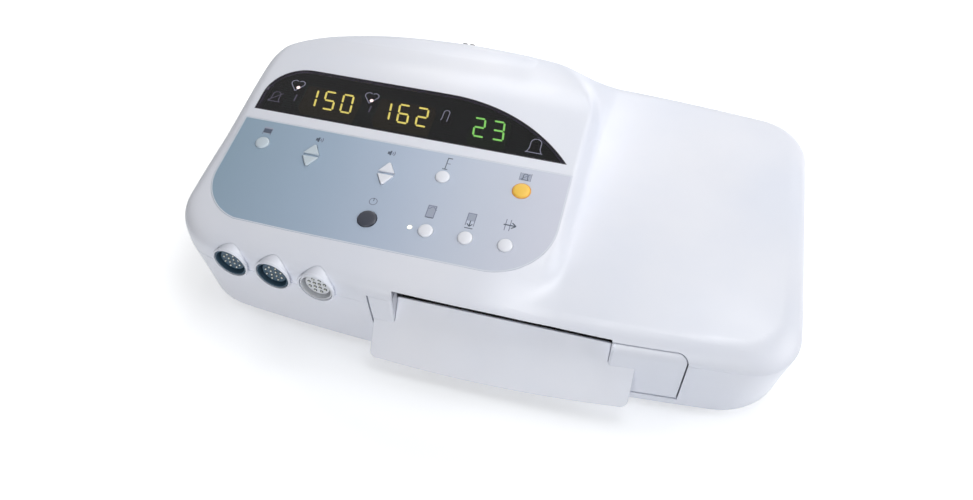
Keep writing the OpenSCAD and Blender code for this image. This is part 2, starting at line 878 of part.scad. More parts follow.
module ultrasound_socket_1() { color([0.24, 0.33, 0.4]) socket(socket_xs[0]); }
module ultrasound_socket_2() { color([0.24, 0.33, 0.4]) socket(socket_xs[1]); }
module contraction_socket() { color([0.86, 0.87, 0.85]) socket(socket_xs[2]); }

socket_board_y = front_at(socket_xs[0]) + shell_len + 0.8 - collar_proud + 3;

// How deep behind the collar's face the board's back lies on a socket's axis
function pin_depth(x) =
    (socket_board_y + board_t - front_at(x)) / cos(asin(x / front_bow_r)) + collar_proud + 1;

module socket_pins() {
    color("gold")
        for (x = socket_xs)
            at_socket(x)
                pin_places()
                    translate([0, 0, -pin_depth(x)])
                        cylinder(h = pin_depth(x) - core_face - 0.8 + pin_proud, r = pin_r, $fn = 16);
}

module socket_board() {
    color("seagreen")
        difference() {
            translate([socket_xs[0] - 17, socket_board_y, part_z - 10])
                cube([2 * socket_pitch + 34, board_t, 24]);
            for (x = socket_xs)
                at_socket(x)
                    pin_places()
                        translate([0, 0, -shell_len - 20])
                            cylinder(h = shell_len + 20, r = pin_r + 0.05, $fn = 24);
        }
}

// The drawer: a front with the chute's recess, a tray, a chute that ends in a lip
front_t = 3;
front_inset = 0.4;
tray_web_h = 10;
tray_wall = 2;
tray_floor_z = drawer_z0;
tray_top_z = 38;
tray_x0 = chute_x0 - tray_wall;
tray_x1 = chute_x1 + tray_wall;
tray_front = -front_y + 8;
tray_back = tray_front + paper_d + 4.5;
ramp_run = lip_proud + chute_back;
ramp_rise = chute_top_z - lip_z;
ramp_per_z = ramp_run / ramp_rise;
ramp_meet_z = lip_z + lip_proud / ramp_per_z;

// A strip of the bowed front between two insets, as a plan outline
function bow_strip(x0, x1, outer, inner) = concat(
    [for (i = [0:bow_steps]) let (x = x0 + (x1 - x0) * i / bow_steps) [x, front_at(x, outer)]],
    [for (i = [0:bow_steps]) let (x = x1 - (x1 - x0) * i / bow_steps) [x, front_at(x, inner)]]);

// The ramp's side view, swept along X: outer face from the lip up to the slot
module ramp_profile(t) {
    polygon([[-front_y - lip_proud, lip_z], [-front_y + chute_back, chute_top_z],
        [-front_y + chute_back + t, chute_top_z], [-front_y - lip_proud + t, lip_z]]);
}

module along_x(x0, x1) {
    translate([x0, 0, 0])
        rotate([90, 0, 90])
            linear_extrude(x1 - x0)
                children();
}

module drawer_front() {
    color("whitesmoke")
        difference() {
            union() {
                translate([0, 0, drawer_z0])
                    linear_extrude(drawer_z1 - drawer_z0)
                        polygon(bow_strip(drawer_x0, drawer_x1, front_inset, front_inset + front_t));
                for (x = [chute_x0 - tray_wall, chute_x1])
                    translate([x, -front_y + front_t + front_inset, tray_top_z])
                        cube([tray_wall, chute_back - front_t, drawer_z1 - tray_top_z]);
            }
            translate([chute_x0, -front_y - 10, ramp_meet_z - 3.4])
                cube([chute_w, 40, 60]);
            along_x(chute_x0, chute_x1)
                ramp_profile(lip_t * 1.3);
        }
}

module paper_chute() {
    color([0.93, 0.93, 0.95])
        union() {
            intersection() {
                along_x(chute_x0 + fit_gap, chute_x1 - fit_gap)
                    ramp_profile(lip_t);
                translate([0, 0, ramp_meet_z - 3.2])
                    linear_extrude(60)
                        polygon(bow_strip(chute_x0, chute_x1, -20, 24));
            }
            intersection() {
                along_x(chute_x0 - lip_left, chute_x1 + lip_right)
                    ramp_profile(lip_t);
                linear_extrude(ramp_meet_z - 3)
                    polygon(bow_strip(chute_x0 - lip_left, chute_x1 + lip_right, -lip_proud, 0.2));
            }
        }
}

bracket_y0 = -roller_y - 6.5;
bracket_w = 13;
bush_r = 4.4;

module drawer_tray() {
    color([0.82, 0.83, 0.85])
        difference() {
            union() {
                translate([tray_x0, tray_front, tray_floor_z])
                    cube([tray_x1 - tray_x0, tray_back - tray_front, tray_top_z - tray_floor_z]);
                for (x = [tray_x0, chute_x1])
                    translate([x, bracket_y0, tray_floor_z])
                        cube([tray_wall, bracket_w, roller_z + 5.5 - tray_floor_z]);
                translate([0, 0, tray_floor_z])
                    linear_extrude(tray_web_h)
                        polygon(concat([[tray_x1, tray_front], [tray_x0, tray_front]],
                            [for (i = [0:bow_steps]) let (x = tray_x0 + (tray_x1 - tray_x0) * i / bow_steps)
                                [x, front_at(x, front_inset + front_t + 0.05)]]));
            }
            translate([chute_x0, tray_front + 1, tray_floor_z + tray_wall])
                cube([chute_w, tray_back - tray_front - tray_wall - 1, 80]);
            for (x = [tray_x0, chute_x1])
                translate([x - 1, -roller_y, roller_z])
                    rotate([0, 90, 0])
                        cylinder(h = tray_wall + 2, r = bush_r + 0.02);
        }
}

module paper_pack() {
    color("ivory")
        translate([chute_mid - paper_w / 2, tray_front + 2, tray_floor_z + tray_wall])
            cube([paper_w, paper_d, paper_h]);
}

rail_w = 9;

module drawer_rails() {
    color("silver")
        for (x = [tray_x0 + 6, tray_x1 - 6 - rail_w])
            translate([x, tray_front + 6, floor_z])
                cube([rail_w, tray_back - tray_front - 8, tray_floor_z - seat_gap - floor_z]);
}

module catch_plate() {
    color("gray")
        translate([chute_mid - 14, tray_back, tray_floor_z + 2])
            cube([28, 1, 12]);
}

module catch_magnet() {
    color([0.2, 0.2, 0.2])
        translate([chute_mid - 11, tray_back + 1 + seat_gap, floor_z])
            cube([22, 8, 14 + tray_floor_z - floor_z]);
}

module roller_axis(x0) {
    translate([x0, -roller_y, roller_z])
        rotate([0, 90, 0])
            children();
}

roller_x0 = chute_x0 + 1;
roller_x1 = chute_x1 - 1;
gear_x0 = tray_x1 + 1;
gear_w = 5;

module platen_roller() {
    color([0.2, 0.2, 0.22])
        roller_axis(roller_x0)
            difference() {
                cylinder(h = roller_x1 - roller_x0, r = roller_r);
                translate([0, 0, -1])
                    cylinder(h = roller_x1 - roller_x0 + 2, r = shaft_r);
            }
}

module roller_shaft() {
    color("silver")
        roller_axis(tray_x0 - 1.5)
            cylinder(h = gear_x0 + gear_w - tray_x0 + 2, r = shaft_r);
}

module roller_bushes() {
    color("peru")
        for (x = [tray_x0, chute_x1])
            roller_axis(x)
                difference() {
                    cylinder(h = tray_wall, r = bush_r);
                    translate([0, 0, -1])
                        cylinder(h = tray_wall + 2, r = shaft_r + run_gap);
                }
}

// A spur gear's outline: straight-sided teeth, thinned for backlash
module gear_outline(teeth, bore) {
    pitch_r = gear_m * teeth / 2;
    root_r = pitch_r - 1.25 * gear_m;
    tip_r = pitch_r + gear_m;
    step = 360 / teeth;
    difference() {
        polygon([for (i = [0:teeth - 1], c = [[root_r, -0.33], [pitch_r, -0.23], [tip_r, -0.1], [tip_r, 0.1],
            [pitch_r, 0.23], [root_r, 0.33]])
            [c[0] * cos((i + c[1]) * step), c[0] * sin((i + c[1]) * step)]]);
        circle(bore);
    }
}

module roller_gear() {
    color("ivory")
        roller_axis(gear_x0)
            linear_extrude(gear_w)
                rotate(90)
                    gear_outline(roller_teeth, shaft_r);
}

motor_y = -roller_y + gear_m * (roller_teeth + pinion_teeth) / 2 + 0.15;
motor_x = gear_x0 + gear_w + 3;
pinion_bore = 1.5;
side_plate_t = 1.5;

module motor_pinion() {
    color("goldenrod")
        translate([gear_x0 - 0.5, motor_y, roller_z])
            rotate([0, 90, 0]) {
                linear_extrude(gear_w + 1)
                    rotate(90 + 180 / pinion_teeth)
                        gear_outline(pinion_teeth, pinion_bore - 0.5);
                cylinder(h = gear_w + 10, r = pinion_bore);
            }
}

module stepper_motor() {
    color("dimgray")
        translate([motor_x, motor_y, roller_z])
            rotate([0, 90, 0])
                difference() {
                    cylinder(h = motor_len, r = motor_r);
                    translate([0, 0, -1])
                        cylinder(h = 9, r = pinion_bore + run_gap);
                }
}

frame_left = tray_x0 - 4.5;
frame_right = motor_x - side_plate_t;
frame_y0 = -roller_y + 8;
frame_back = -58;
frame_top = 65.5;

module recorder_frame() {
    color("silver")
        difference() {
            union() {
                for (x = [frame_left, frame_right])
                    translate([x, frame_y0, floor_z])
                        cube([side_plate_t, frame_back - frame_y0, frame_top - floor_z]);
                translate([frame_left, frame_y0, frame_top - side_plate_t])
                    cube([frame_right - frame_left + side_plate_t, 14, side_plate_t]);
            }
            translate([frame_right - 1, motor_y, roller_z])
                rotate([0, 90, 0])
                    cylinder(h = side_plate_t + 2, r = pinion_bore + run_gap);
        }
}

head_z = roller_z + roller_r + seat_gap;
head_t = 2;

module print_head() {
    color([0.85, 0.8, 0.7])
        translate([roller_x0, -roller_y - 5, head_z])
            cube([roller_x1 - roller_x0, 12, head_t]);
}

module head_bar() {
    color("lightgray")
        translate([roller_x0, -roller_y - 3, head_z + head_t])
            difference() {
                cube([roller_x1 - roller_x0, 23, frame_top - side_plate_t - head_z - head_t]);
                translate([-1, -1, 1.6])
                    cube([roller_x1 - roller_x0 + 2, 11, 20]);
            }
}

board_z = floor_z + standoff_h;

module bare_board(b) {
    translate([b[0], b[1], board_z])
        cube([b[2], b[3], board_t]);
}

module chip(x, y, w, d, h) {
    translate([x, y, board_z + board_t])
        cube([w, d, h]);
}

module main_board() {
    color("seagreen") {
        bare_board(main_board_box);
        chip(-150, 0, 22, 22, 2.4);
        chip(-118, 8, 14, 20, 2.4);
        chip(-188, 10, 18, 12, 3);
        chip(-120, -44, 30, 8, 9);
        chip(-186, 48, 10, 24, 9);
        for (i = [0:5])
            chip(-150 + i * 12, 44, 7, 7, 10);
    }
}

module preamp_shield() {
    color("silver")
        translate([-190, -78, board_z + board_t])
            cube([64, 46, 15]);
}

module power_board() {
    color("seagreen") {
        bare_board(power_board_box);
        for (i = [0:2])
            translate([124 + i * 20, -18, board_z + board_t])
                cylinder(h = 22, r = 7);
        chip(160, 4, 26, 14, 12);
    }
}

module transformer() {
    color([0.35, 0.3, 0.25]) {
        chip(126, 24, 46, 8, 34);
        chip(126, 48, 46, 8, 34);
        translate([130, 32 - eps, board_z + board_t + 6])
            cube([38, 16 + 2 * eps, 22]);
    }
}

module heat_sink() {
    color("darkgray") {
        chip(180, 24, 4, 44, 30);
        for (i = [0:5])
            chip(184 - eps, 25 + i * 8, 7, 2, 30);
    }
}

module loudspeaker() {
    color([0.15, 0.15, 0.16])
        translate([speaker_at[0], speaker_at[1], floor_z]) {
            difference() {
                cylinder(h = 6, r = speaker_r);
                translate([0, 0, -1])
                    cylinder(h = 5.5, r = speaker_r - 5);
            }
            translate([0, 0, 6 - eps])
                cylinder(h = 9, r1 = speaker_r - 3, r2 = 16);
            translate([0, 0, 15 - eps])
                cylinder(h = 11, r = 16);
        }
}

// The rear panel stands in two slotted ribs behind the window in the lower case's back wall
inlet_at = [146, 33];
inlet_w = 42;
inlet_h = 22;
fuse_w = 11;
fuse_depth = 17;
blade_pitch = 7;
stud_at = [110, 30];
stud_r = 3;
port_w = 14;
port_h = 13;
ports = [[74, 34], [92, 34]];

module on_panel(p) {
    translate([p[0], panel_y, p[1]])
        rotate([-90, 180, 0])
            children();
}

module rear_panel() {
    color("gainsboro")
        difference() {
            translate([panel_x0 - panel_edge, panel_y, floor_z])
                cube([panel_x1 - panel_x0 + 2 * panel_edge, panel_t, panel_z1 - floor_z + 2]);
            translate([inlet_at[0] - inlet_w / 2 - fit_gap, panel_y - 1, inlet_at[1] - inlet_h / 2 - fit_gap])
                cube([inlet_w + 2 * fit_gap, panel_t + 2, inlet_h + 2 * fit_gap]);
            for (p = ports)
                translate([p[0] - port_w / 2 - fit_gap, panel_y - 1, p[1] - port_h / 2 - fit_gap])
                    cube([port_w + 2 * fit_gap, panel_t + 2, port_h + 2 * fit_gap]);
            translate([stud_at[0], panel_y - 1, stud_at[1]])
                rotate([-90, 0, 0])
                    cylinder(h = panel_t + 2, r = stud_r + fit_gap);
        }
}

inlet_depth = 20;
inlet_proud = 1.5;
inlet_rim = 2;
cavity_depth = 15;
cavity_w = inlet_w - fuse_w - 3 * inlet_rim;
cavity_h = inlet_h - 2 * inlet_rim;
cavity_z = inlet_at[1] - cavity_h / 2;
inlet_face = panel_y + panel_t + inlet_proud;
inlet_x0 = inlet_at[0] - inlet_w / 2;
cavity_x = inlet_x0 + 2 * inlet_rim + fuse_w + cavity_w / 2;
blade_t = 2;
blade_h = 4;

// The appliance inlet: a housing with a blade cavity and a pocket for the fuses
module power_inlet() {
    color([0.1, 0.1, 0.11]) {
        difference() {
            translate([inlet_x0, panel_y - inlet_depth, inlet_at[1] - inlet_h / 2])
                cube([inlet_w, inlet_face - panel_y + inlet_depth, inlet_h]);
            translate([cavity_x - cavity_w / 2, inlet_face - cavity_depth, cavity_z])
                cube([cavity_w, cavity_depth + 1, cavity_h]);
            translate([inlet_x0 + inlet_rim, inlet_face - fuse_depth - seat_gap, cavity_z])
                cube([fuse_w, fuse_depth + 2, cavity_h]);
        }
        for (s = [-1, 0, 1])
            translate([cavity_x + s * blade_pitch - blade_t / 2, inlet_face - cavity_depth - eps,
                inlet_at[1] - blade_h / 2 + (s == 0 ? blade_h : 0)])
                cube([blade_t, cavity_depth - 3, blade_h]);
    }
}

module fuse_carrier() {
    color([0.14, 0.14, 0.15])
        difference() {
            translate([inlet_x0 + inlet_rim + seat_gap, inlet_face - fuse_depth, cavity_z + seat_gap])
                cube([fuse_w - 2 * seat_gap, fuse_depth + 1, cavity_h - 2 * seat_gap]);
            translate([inlet_x0 + inlet_rim + 2, inlet_face - fuse_depth + 2, inlet_at[1] - 2.6])
                cube([fuse_w, fuse_depth - 5, 5.2]);
        }
}

module data_ports() {
    color([0.2, 0.21, 0.22])
        for (p = ports)
            difference() {
                translate([p[0] - port_w / 2, panel_y - 12, p[1] - port_h / 2])
                    cube([port_w, 12 + panel_t + 0.6, port_h]);
                translate([p[0] - port_w / 2 + 1.2, panel_y - 10, p[1] - port_h / 2 + 1.2])
                    cube([port_w - 2.4, 20, port_h - 4.4]);
                translate([p[0] - 3, panel_y - 10, p[1]])
                    cube([6, 20, port_h / 2 - 1.2]);
            }
}

module equipotential_stud() {
    color("silver")
        translate([stud_at[0], panel_y - 6, stud_at[1]])
            rotate([-90, 0, 0]) {
                cylinder(h = 6, r = 5, $fn = 6);
                cylinder(h = 6 + panel_t + 9, r = stud_r);
            }
}

// A small cleat on the upper case's back wall dresses the transducer leads
cleat_x = -71;
cleat_reach = front_y + lip_proud - back_y;
prong_w = 4.2;
prong_t = 2.8;
prong_pitch = 6.6;

module cable_cleat() {
    color([0.08, 0.08, 0.09])
        difference() {
            union() {
                translate([cleat_x - 9, back_y - 3.2, part_z + 8])
                    cube([18, 3.2 + cleat_reach - 1.2, 14]);
                for (s = [-1, 1])
                    translate([cleat_x + (s * prong_pitch - prong_w) / 2, back_y + cleat_reach - prong_t, part_z + 10])
                        cube([prong_w, prong_t, 21.5]);
            }
            translate([0, 0, part_z])
                linear_extrude(30)
                    polygon(concat([[-100, 0]], [for (i = [0:8]) let (x = cleat_x + 20 - i * 5) [x, back_at(x) + fit_gap]]));
        }
}

upper_case();
lower_case();
rubber_feet();
case_screws();
display_lens();
control_overlay();
alarm_silence_key();
power_key();
setup_key();
zero_key();
record_key();
paper_feed_key();
event_mark_key();
volume_up_key_1();
volume_down_key_1();
volume_up_key_2();
volume_down_key_2();
record_lamp();
key_mat();
key_board();
display_board();
digits_heart_rate_1();
digits_heart_rate_2();
digits_contraction();
status_lamps();
board_screws();
socket_collars();
ultrasound_socket_1();
ultrasound_socket_2();
contraction_socket();
socket_pins();
socket_board();
drawer_front();
drawer_tray();
paper_chute();
paper_pack();
drawer_rails();
catch_plate();
catch_magnet();
platen_roller();
roller_shaft();
roller_gear();
roller_bushes();
motor_pinion();
stepper_motor();
recorder_frame();
print_head();
head_bar();
main_board();
preamp_shield();
power_board();
transformer();
heat_sink();
loudspeaker();
rear_panel();
power_inlet();
fuse_carrier();
data_ports();
equipotential_stud();
cable_cleat();
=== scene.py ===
# Looks of a bench-top fetal heart monitor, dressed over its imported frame. Lengths in the
# sections are millimetres in the frame's own axes, and become metres as a piece is placed.
import math

import bmesh
import bpy
from mathutils import Matrix, Vector


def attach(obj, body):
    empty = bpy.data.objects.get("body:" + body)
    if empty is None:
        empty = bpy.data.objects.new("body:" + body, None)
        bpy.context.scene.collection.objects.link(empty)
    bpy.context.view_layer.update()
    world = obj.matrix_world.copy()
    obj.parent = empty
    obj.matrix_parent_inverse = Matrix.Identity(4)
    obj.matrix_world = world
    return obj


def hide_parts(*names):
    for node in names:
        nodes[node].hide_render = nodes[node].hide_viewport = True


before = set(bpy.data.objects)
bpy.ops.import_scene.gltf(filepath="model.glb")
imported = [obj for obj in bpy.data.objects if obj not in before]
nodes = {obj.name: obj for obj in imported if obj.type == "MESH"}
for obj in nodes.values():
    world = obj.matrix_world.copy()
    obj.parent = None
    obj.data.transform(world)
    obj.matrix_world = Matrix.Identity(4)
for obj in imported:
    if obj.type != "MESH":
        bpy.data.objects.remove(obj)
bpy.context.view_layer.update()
scene = bpy.context.scene
scene.view_settings.view_transform = "Standard"


# The photographer's place: above and in front of the paper drawer, looking down to the left
# at about 49 degrees.
yaw, pitch, roll = 0.2532, 0.8504, 0.0087
lens = bpy.data.cameras.new("camera")
lens.sensor_width = 36
lens.lens = 30.243
lens.clip_start = 0.01
camera = bpy.data.objects.new("camera", lens)
camera.matrix_world = Matrix.Translation((0.09849, -0.44318, 0.50879)) @ Matrix.Rotation(yaw, 4, "Z") \
    @ Matrix.Rotation(math.pi / 2 - pitch, 4, "X") @ Matrix.Rotation(roll, 4, "Z")
scene.collection.objects.link(camera)
scene.camera = camera


# The studio: a white tent, softboxes to the right, in front, behind and above, one nearer lamp
# over the flank, and a white table that keeps the monitor's soft shadow, with painted shade round the
# monitor.
def fill(node, values):
    """Links a node's inputs to the sockets given, and sets the others to the values given."""
    for label, value in values.items():
        if isinstance(value, bpy.types.NodeSocket):
            node.id_data.links.new(value, node.inputs[label])
        else:
            node.inputs[label].default_value = value
    return node


def add(tree, kind, values=None, **settings):
    """A new shader node with its settings, and with its inputs filled."""
    made = tree.nodes.new("ShaderNode" + kind)
    for name, value in settings.items():
        setattr(made, name, value)
    return fill(made, values or {})


def seen_directly(tree):
    """A factor that is 1 for what the camera, a reflection or glass shows of the tent."""
    path = add(tree, "LightPath").outputs
    seen = path["Is Camera Ray"]
    for other in ("Is Glossy Ray", "Is Transmission Ray"):
        seen = add(tree, "Math", {0: seen, 1: path[other]}, operation="MAXIMUM").outputs[0]
    return seen


def stretch(tree, value, low, high, to_low, to_high):
    """Maps a value from one range to another and holds it there."""
    return add(tree, "MapRange", {"Value": value, "From Min": low, "From Max": high, "To Min": to_low,
                                  "To Max": to_high}).outputs["Result"]


tent = bpy.data.worlds.new("tent")
scene.world = tent
tent.use_nodes = True
tree = tent.node_tree
glow = fill(tree.nodes["Background"], {"Strength": 0.02})
white = add(tree, "Background", {"Color": (1, 1, 1, 1)})
either = add(tree, "MixShader", {"Fac": seen_directly(tree), 1: glow.outputs[0], 2: white.outputs[0]})
fill(tree.nodes["World Output"], {"Surface": either.outputs[0]})

# Each light's place, its width in metres and its power in watts.
softboxes = {"right_box": ((2, 0, 0.8), 1.4, 16),
             "front_box": ((0, -2, 0.8), 1.4, 20),
             "back_lamp": ((-0.15, 0.8, 0.6), 0.5, 2.3),
             "top_lamp": ((0.2, 0.05, 0.95), 0.5, 2.2),
             "near_lamp": ((0.3, 0.25, 0.75), 0.25, 1.6)}
for name, (spot, size, energy) in softboxes.items():
    lamp = bpy.data.lights.new(name, "AREA")
    lamp.shape, lamp.size, lamp.energy = "DISK", size, energy
    softbox = bpy.data.objects.new(name, lamp)
    softbox.location = spot
    softbox.rotation_mode = "QUATERNION"
    softbox.rotation_quaternion = (Vector((0, 0, 0.05)) - softbox.location).to_track_quat("-Z", "Y")
    scene.collection.objects.link(softbox)

sheet = bmesh.new()
bmesh.ops.create_grid(sheet, x_segments=8, y_segments=8, size=6)
table_mesh = bpy.data.meshes.new("table")
sheet.to_mesh(table_mesh)
sheet.free()
table = bpy.data.objects.new("table", table_mesh)
scene.collection.objects.link(table)
table_white = bpy.data.materials.new("table_white")
table_white.use_nodes = True
tree = table_white.node_tree
matt = fill(tree.nodes["Principled BSDF"], {"Base Color": (0.82, 0.84, 0.87, 1), "Roughness": 0.9,
                                            "Specular IOR Level": 0})
# Seen directly, the table is lifted towards white less within about 0.36 m of the monitor: painted shade
# round it.
reach = add(tree, "VectorMath", {0: add(tree, "TexCoord").outputs["Object"]}, operation="LENGTH")
lift_with_painted_shade = add(tree, "Emission", {"Strength": stretch(tree, reach.outputs["Value"], 0.2, 0.36, 0.42, 0.95)})
unlit = add(tree, "Emission", {"Strength": 0})
shown = add(tree, "MixShader", {"Fac": seen_directly(tree), 1: unlit.outputs[0], 2: lift_with_painted_shade.outputs[0]})
both = add(tree, "AddShader", {0: matt.outputs[0], 1: shown.outputs[0]})
fill(tree.nodes["Material Output"], {"Surface": both.outputs[0]})
table.data.materials.append(table_white)


# Upper case: one thin-walled moulding of off-white ABS with a fine spark-eroded texture. Its
# raised left deck carries the display and keys, and falls in a soft flank to the low right deck.
# Walls and their bows' radii as seen from above, and how far each wall draws in over the roll.
half_width, front_y, back_y, bow_front, bow_back, corner_r, wall = 225, -129, 141, 1740, 1560, 38, 2.6
front_draw, back_draw, left_draw, right_draw = 17, 16, 12, 18
# Heights on the middle line, the decks' slopes, the step at the seam, the roll and the crest.
parting, low_z, deck_z, deck_slope = 56, 73.8, 92, math.radians(8.2)
low_rise, deck_rise = math.tan(math.radians(1.9)), math.tan(deck_slope)
seam, seam_draw = 0.6, 0.55
roll_rings, roll_depth, roll_fullness = 12, 13, 0.77
crest_start, crest_length, back_fall = 58, 33, 0.09
# The flank's turn at the front, the paper slot's ends, and the sockets' places.
flank_turn, slot_left, slot_right = 46, -50.5, 101.5
socket_xs, socket_z, collar_out = (-174, -140, -106), 61, 3.2


def share(amount, whole):
    """How much of a whole an amount makes up, from 0 to 1."""
    return min(max(amount / whole, 0), 1)


def shift(x, y, z=0):
    """The matrix that moves a shape by a distance along each axis."""
    return Matrix.Translation((x, y, z))


def verts_of(made):
    """The vertices among what an operator made."""
    return [g for g in made if isinstance(g, bmesh.types.BMVert)]


def chain(bm, start, *parts):
    """A closed chain of edges in one level. A part is a line's end, a line's end and its number of
    steps, or an arc's centre, angle and number of steps."""
    known = set(bm.edges)
    first = last = bm.verts.new(start)
    for x, y, *more in parts:
        *angle, steps = more or [1]
        if angle:
            spun = bmesh.ops.spin(bm, geom=[last], cent=(x, y, start[2]), axis=(0, 0, 1), angle=angle[0],
                                  steps=steps)
            last = verts_of(spun["geom_last"])[0]
        else:
            step = (Vector((x, y, start[2])) - last.co) / steps
            for _ in range(steps):
                last = bmesh.ops.extrude_vert_indiv(bm, verts=[last])["verts"][0]
                bmesh.ops.translate(bm, verts=[last], vec=step)
    bmesh.ops.pointmerge(bm, verts=[first, last], merge_co=start)
    return [e for e in bm.edges if e not in known]


def plan(bm, z, front, back, left, left_r, right, right_r):
    """The case seen from above, each wall drawn in by its own amount, as one loop at height z."""
    # Corner centres stand at lx and rx, at lf and rf by the front and at lb and rb by the back.
    lx, rx = left + left_r - half_width, half_width - right - right_r
    fr, fc, br, bc = bow_front - front, bow_front + front_y, bow_back - back, back_y - bow_back
    lf, rf = [fc - math.sqrt((fr - r) ** 2 - x * x) for x, r in ((lx, left_r), (rx, right_r))]
    lb, rb = [bc + math.sqrt((br - r) ** 2 - x * x) for x, r in ((lx, left_r), (rx, right_r))]
    a0, a1 = math.atan2(lf - fc, lx), math.atan2(rf - fc, rx)
    b0, b1 = math.atan2(lb - bc, lx), math.atan2(rb - bc, rx)
    return chain(bm, (fr * math.cos(a0), fc + fr * math.sin(a0), z),
                 (0, fc, a1 - a0, 44), (rx, rf, -a1, 12), (half_width - right, rb, 8),
                 (rx, rb, b1, 12), (0, bc, b0 - b1, 44), (lx, lb, math.pi - b0, 12),
                 (left - half_width, lf, 8), (lx, lf, math.pi + a0, 12))


def stack(bm, loops):
    """Joins loops one above another into a closed body."""
    for below, above in zip(loops, loops[1:]):
        bmesh.ops.bridge_loops(bm, edges=below + above)
    for end in (loops[0], loops[-1]):
        bmesh.ops.edgeloop_fill(bm, edges=end)


def score(bm, axis, places, above=-math.inf):
    """Cuts straight lines across a body's faces, so that they can follow a curve."""
    for place in places:
        at, towards = Vector((0, 0, 0)), Vector((0, 0, 0))
        at[axis], towards[axis] = place, 1
        faces = [f for f in bm.faces if min(v.co.z for v in f.verts) > above]
        edges = dict.fromkeys(e for f in faces for e in f.edges)
        verts = dict.fromkeys(v for e in edges for v in e.verts)
        bmesh.ops.bisect_plane(bm, geom=[*verts, *edges, *faces], dist=0.01, plane_co=at, plane_no=towards)


def front_at(x, inset=0):
    """Where the bowed front wall stands at x."""
    return bow_front + front_y - math.sqrt((bow_front - inset) ** 2 - x * x)


def deck_top(y):
    """Height of the raised deck: a plane up to the display, then a soft crest and a fall."""
    t = y - crest_start
    if t > crest_length:
        return deck_top(crest_start + crest_length) - back_fall * (t - crest_length)
    return deck_z + y * deck_rise - max(t, 0) ** 2 * (deck_rise + back_fall) / (2 * crest_length)


def flank(x, y):
    """Share of the fall from the raised deck to the low one: 0 on the left, 1 on the right."""
    # It falls in X from top to foot, and a larger n makes its middle steeper.
    back, front = share(y - 62, 76), min(max(-51 - y, 0), flank_turn)
    top = 47.5 - 40 * back ** 1.4 + math.sqrt(flank_turn ** 2 - front ** 2) - flank_turn
    foot = 63 + 5 * back
    t = share(x - top, foot - top)
    n = 2.7 - 1.4 * back - front / flank_turn
    return t ** n / (t ** n + (1 - t) ** n)


def crown(x, y):
    """How far the deck behind the display falls away to both sides of its crest."""
    return 9 * (max(y - 56, 0) / 75) ** 2 * share(abs(x + 85), 130) ** 2


def squareness(x, y):
    """How square the upper case's rolled edge is: 2 is round, and the left front is squarer."""
    s = flank(x, y)
    return 2 + share(-20 - y, 70) * (1.4 * (1 - s) - 0.2 * s)


def roll_out(ring):
    """How far out a ring stands on the rolled edge: 1 at the wall, 0 where the roll meets the top."""
    return math.cos(math.pi / 2 * share(ring, roll_rings)) ** roll_fullness


def upper_height(x, y, ring, inset, foot):
    """Height of the upper case's skin on one of its rings. Those below 0 are the wall's lip."""
    if ring < -0.5:
        return foot if ring < -1.5 else foot + seam
    square = squareness(x, y)
    up = (1 - roll_out(ring) ** square) ** (1 / square)
    low = parting + seam + (low_z + y * low_rise - inset - parting - seam) * up
    high = deck_top(y) - inset - roll_depth * (1 - up) - crown(x, y)
    return high + (low - high) * flank(x, y)


def upper_body(inset, foot):
    """The upper case as a closed body, drawn in all round by an inset."""
    bm = bmesh.new()
    loops = []
    for ring in range(-2, roll_rings + 1):
        draw = 1 - roll_out(ring)
        lip = inset + (seam_draw if ring == -2 else 0)
        loops.append(plan(bm, ring, lip + front_draw * draw, lip + back_draw * draw,
                          lip + left_draw * draw, corner_r - lip - 8 * draw,
                          lip + right_draw * draw, corner_r - lip - 10 * draw))
    stack(bm, loops)
    columns = [-8 + 4 * i for i in range(13)] + [44.5 + 0.9 * i for i in range(25)] + [70, 74]
    rows = [-118 + 8 * i for i in range(22)]
    rows += [58 + 3.3 * i for i in range(11)] + [96 + 4 * i for i in range(9)]
    score(bm, 0, columns, above=-1.5)
    score(bm, 1, rows, above=-1.5)
    # The back left corner is drawn in further, and the front right one fills out.
    for v in bm.verts:
        back_left = (share(-120 - v.co.x, 105) * share(v.co.y - 30, 111)) ** 2
        front_right = (share(v.co.x - 140, 85) * share(-50 - v.co.y, 79)) ** 2
        pull = back_left * (8 + 0.7 * v.co.z if v.co.z > -0.5 else 0) - front_right * 0.7 * max(v.co.z, 0)
        v.co = (v.co.x + pull, v.co.y - pull, upper_height(v.co.x, v.co.y, v.co.z, inset, foot))
    return bm


def solid(name, bm):
    """A bmesh in millimetres as an object in metres, with its faces turned outwards."""
    bmesh.ops.recalc_face_normals(bm, faces=bm.faces)
    bmesh.ops.scale(bm, vec=(0.001, 0.001, 0.001), verts=bm.verts)
    mesh = bpy.data.meshes.new(name)
    bm.to_mesh(mesh)
    bm.free()
    made = bpy.data.objects.new(name, mesh)
    scene.collection.objects.link(made)
    return made


def carve(body, tool):
    """Cuts a tool out of a body and removes the tool."""
    cutter = solid("cutter", tool)
    cut = body.modifiers.new("cut", "BOOLEAN")
    cut.operation, cut.solver, cut.object = "DIFFERENCE", "EXACT", cutter
    bpy.context.view_layer.update()
    mesh = bpy.data.meshes.new_from_object(body.evaluated_get(bpy.context.evaluated_depsgraph_get()))
    body.modifiers.clear()
    body.data = mesh
    bpy.data.objects.remove(cutter)


def thicken(bm, faces, height):
    """Draws faces up into a closed body."""
    raised = verts_of(bmesh.ops.extrude_face_region(bm, geom=faces)["geom"])
    bmesh.ops.translate(bm, verts=raised, vec=(0, 0, height))


def prism(bm, loop, height):
    """Fills a loop and draws it up into a closed prism."""
    thicken(bm, bmesh.ops.edgeloop_fill(bm, edges=loop)["faces"], height)


def block(bm, low, high):
    """A box between two corners."""
    low, high = Vector(low), Vector(high)
    size = high - low
    return bmesh.ops.create_cube(bm, size=1, matrix=Matrix.Translation((low + high) / 2)
                                 @ Matrix.Diagonal((size.x, size.y, size.z, 1)))["verts"]


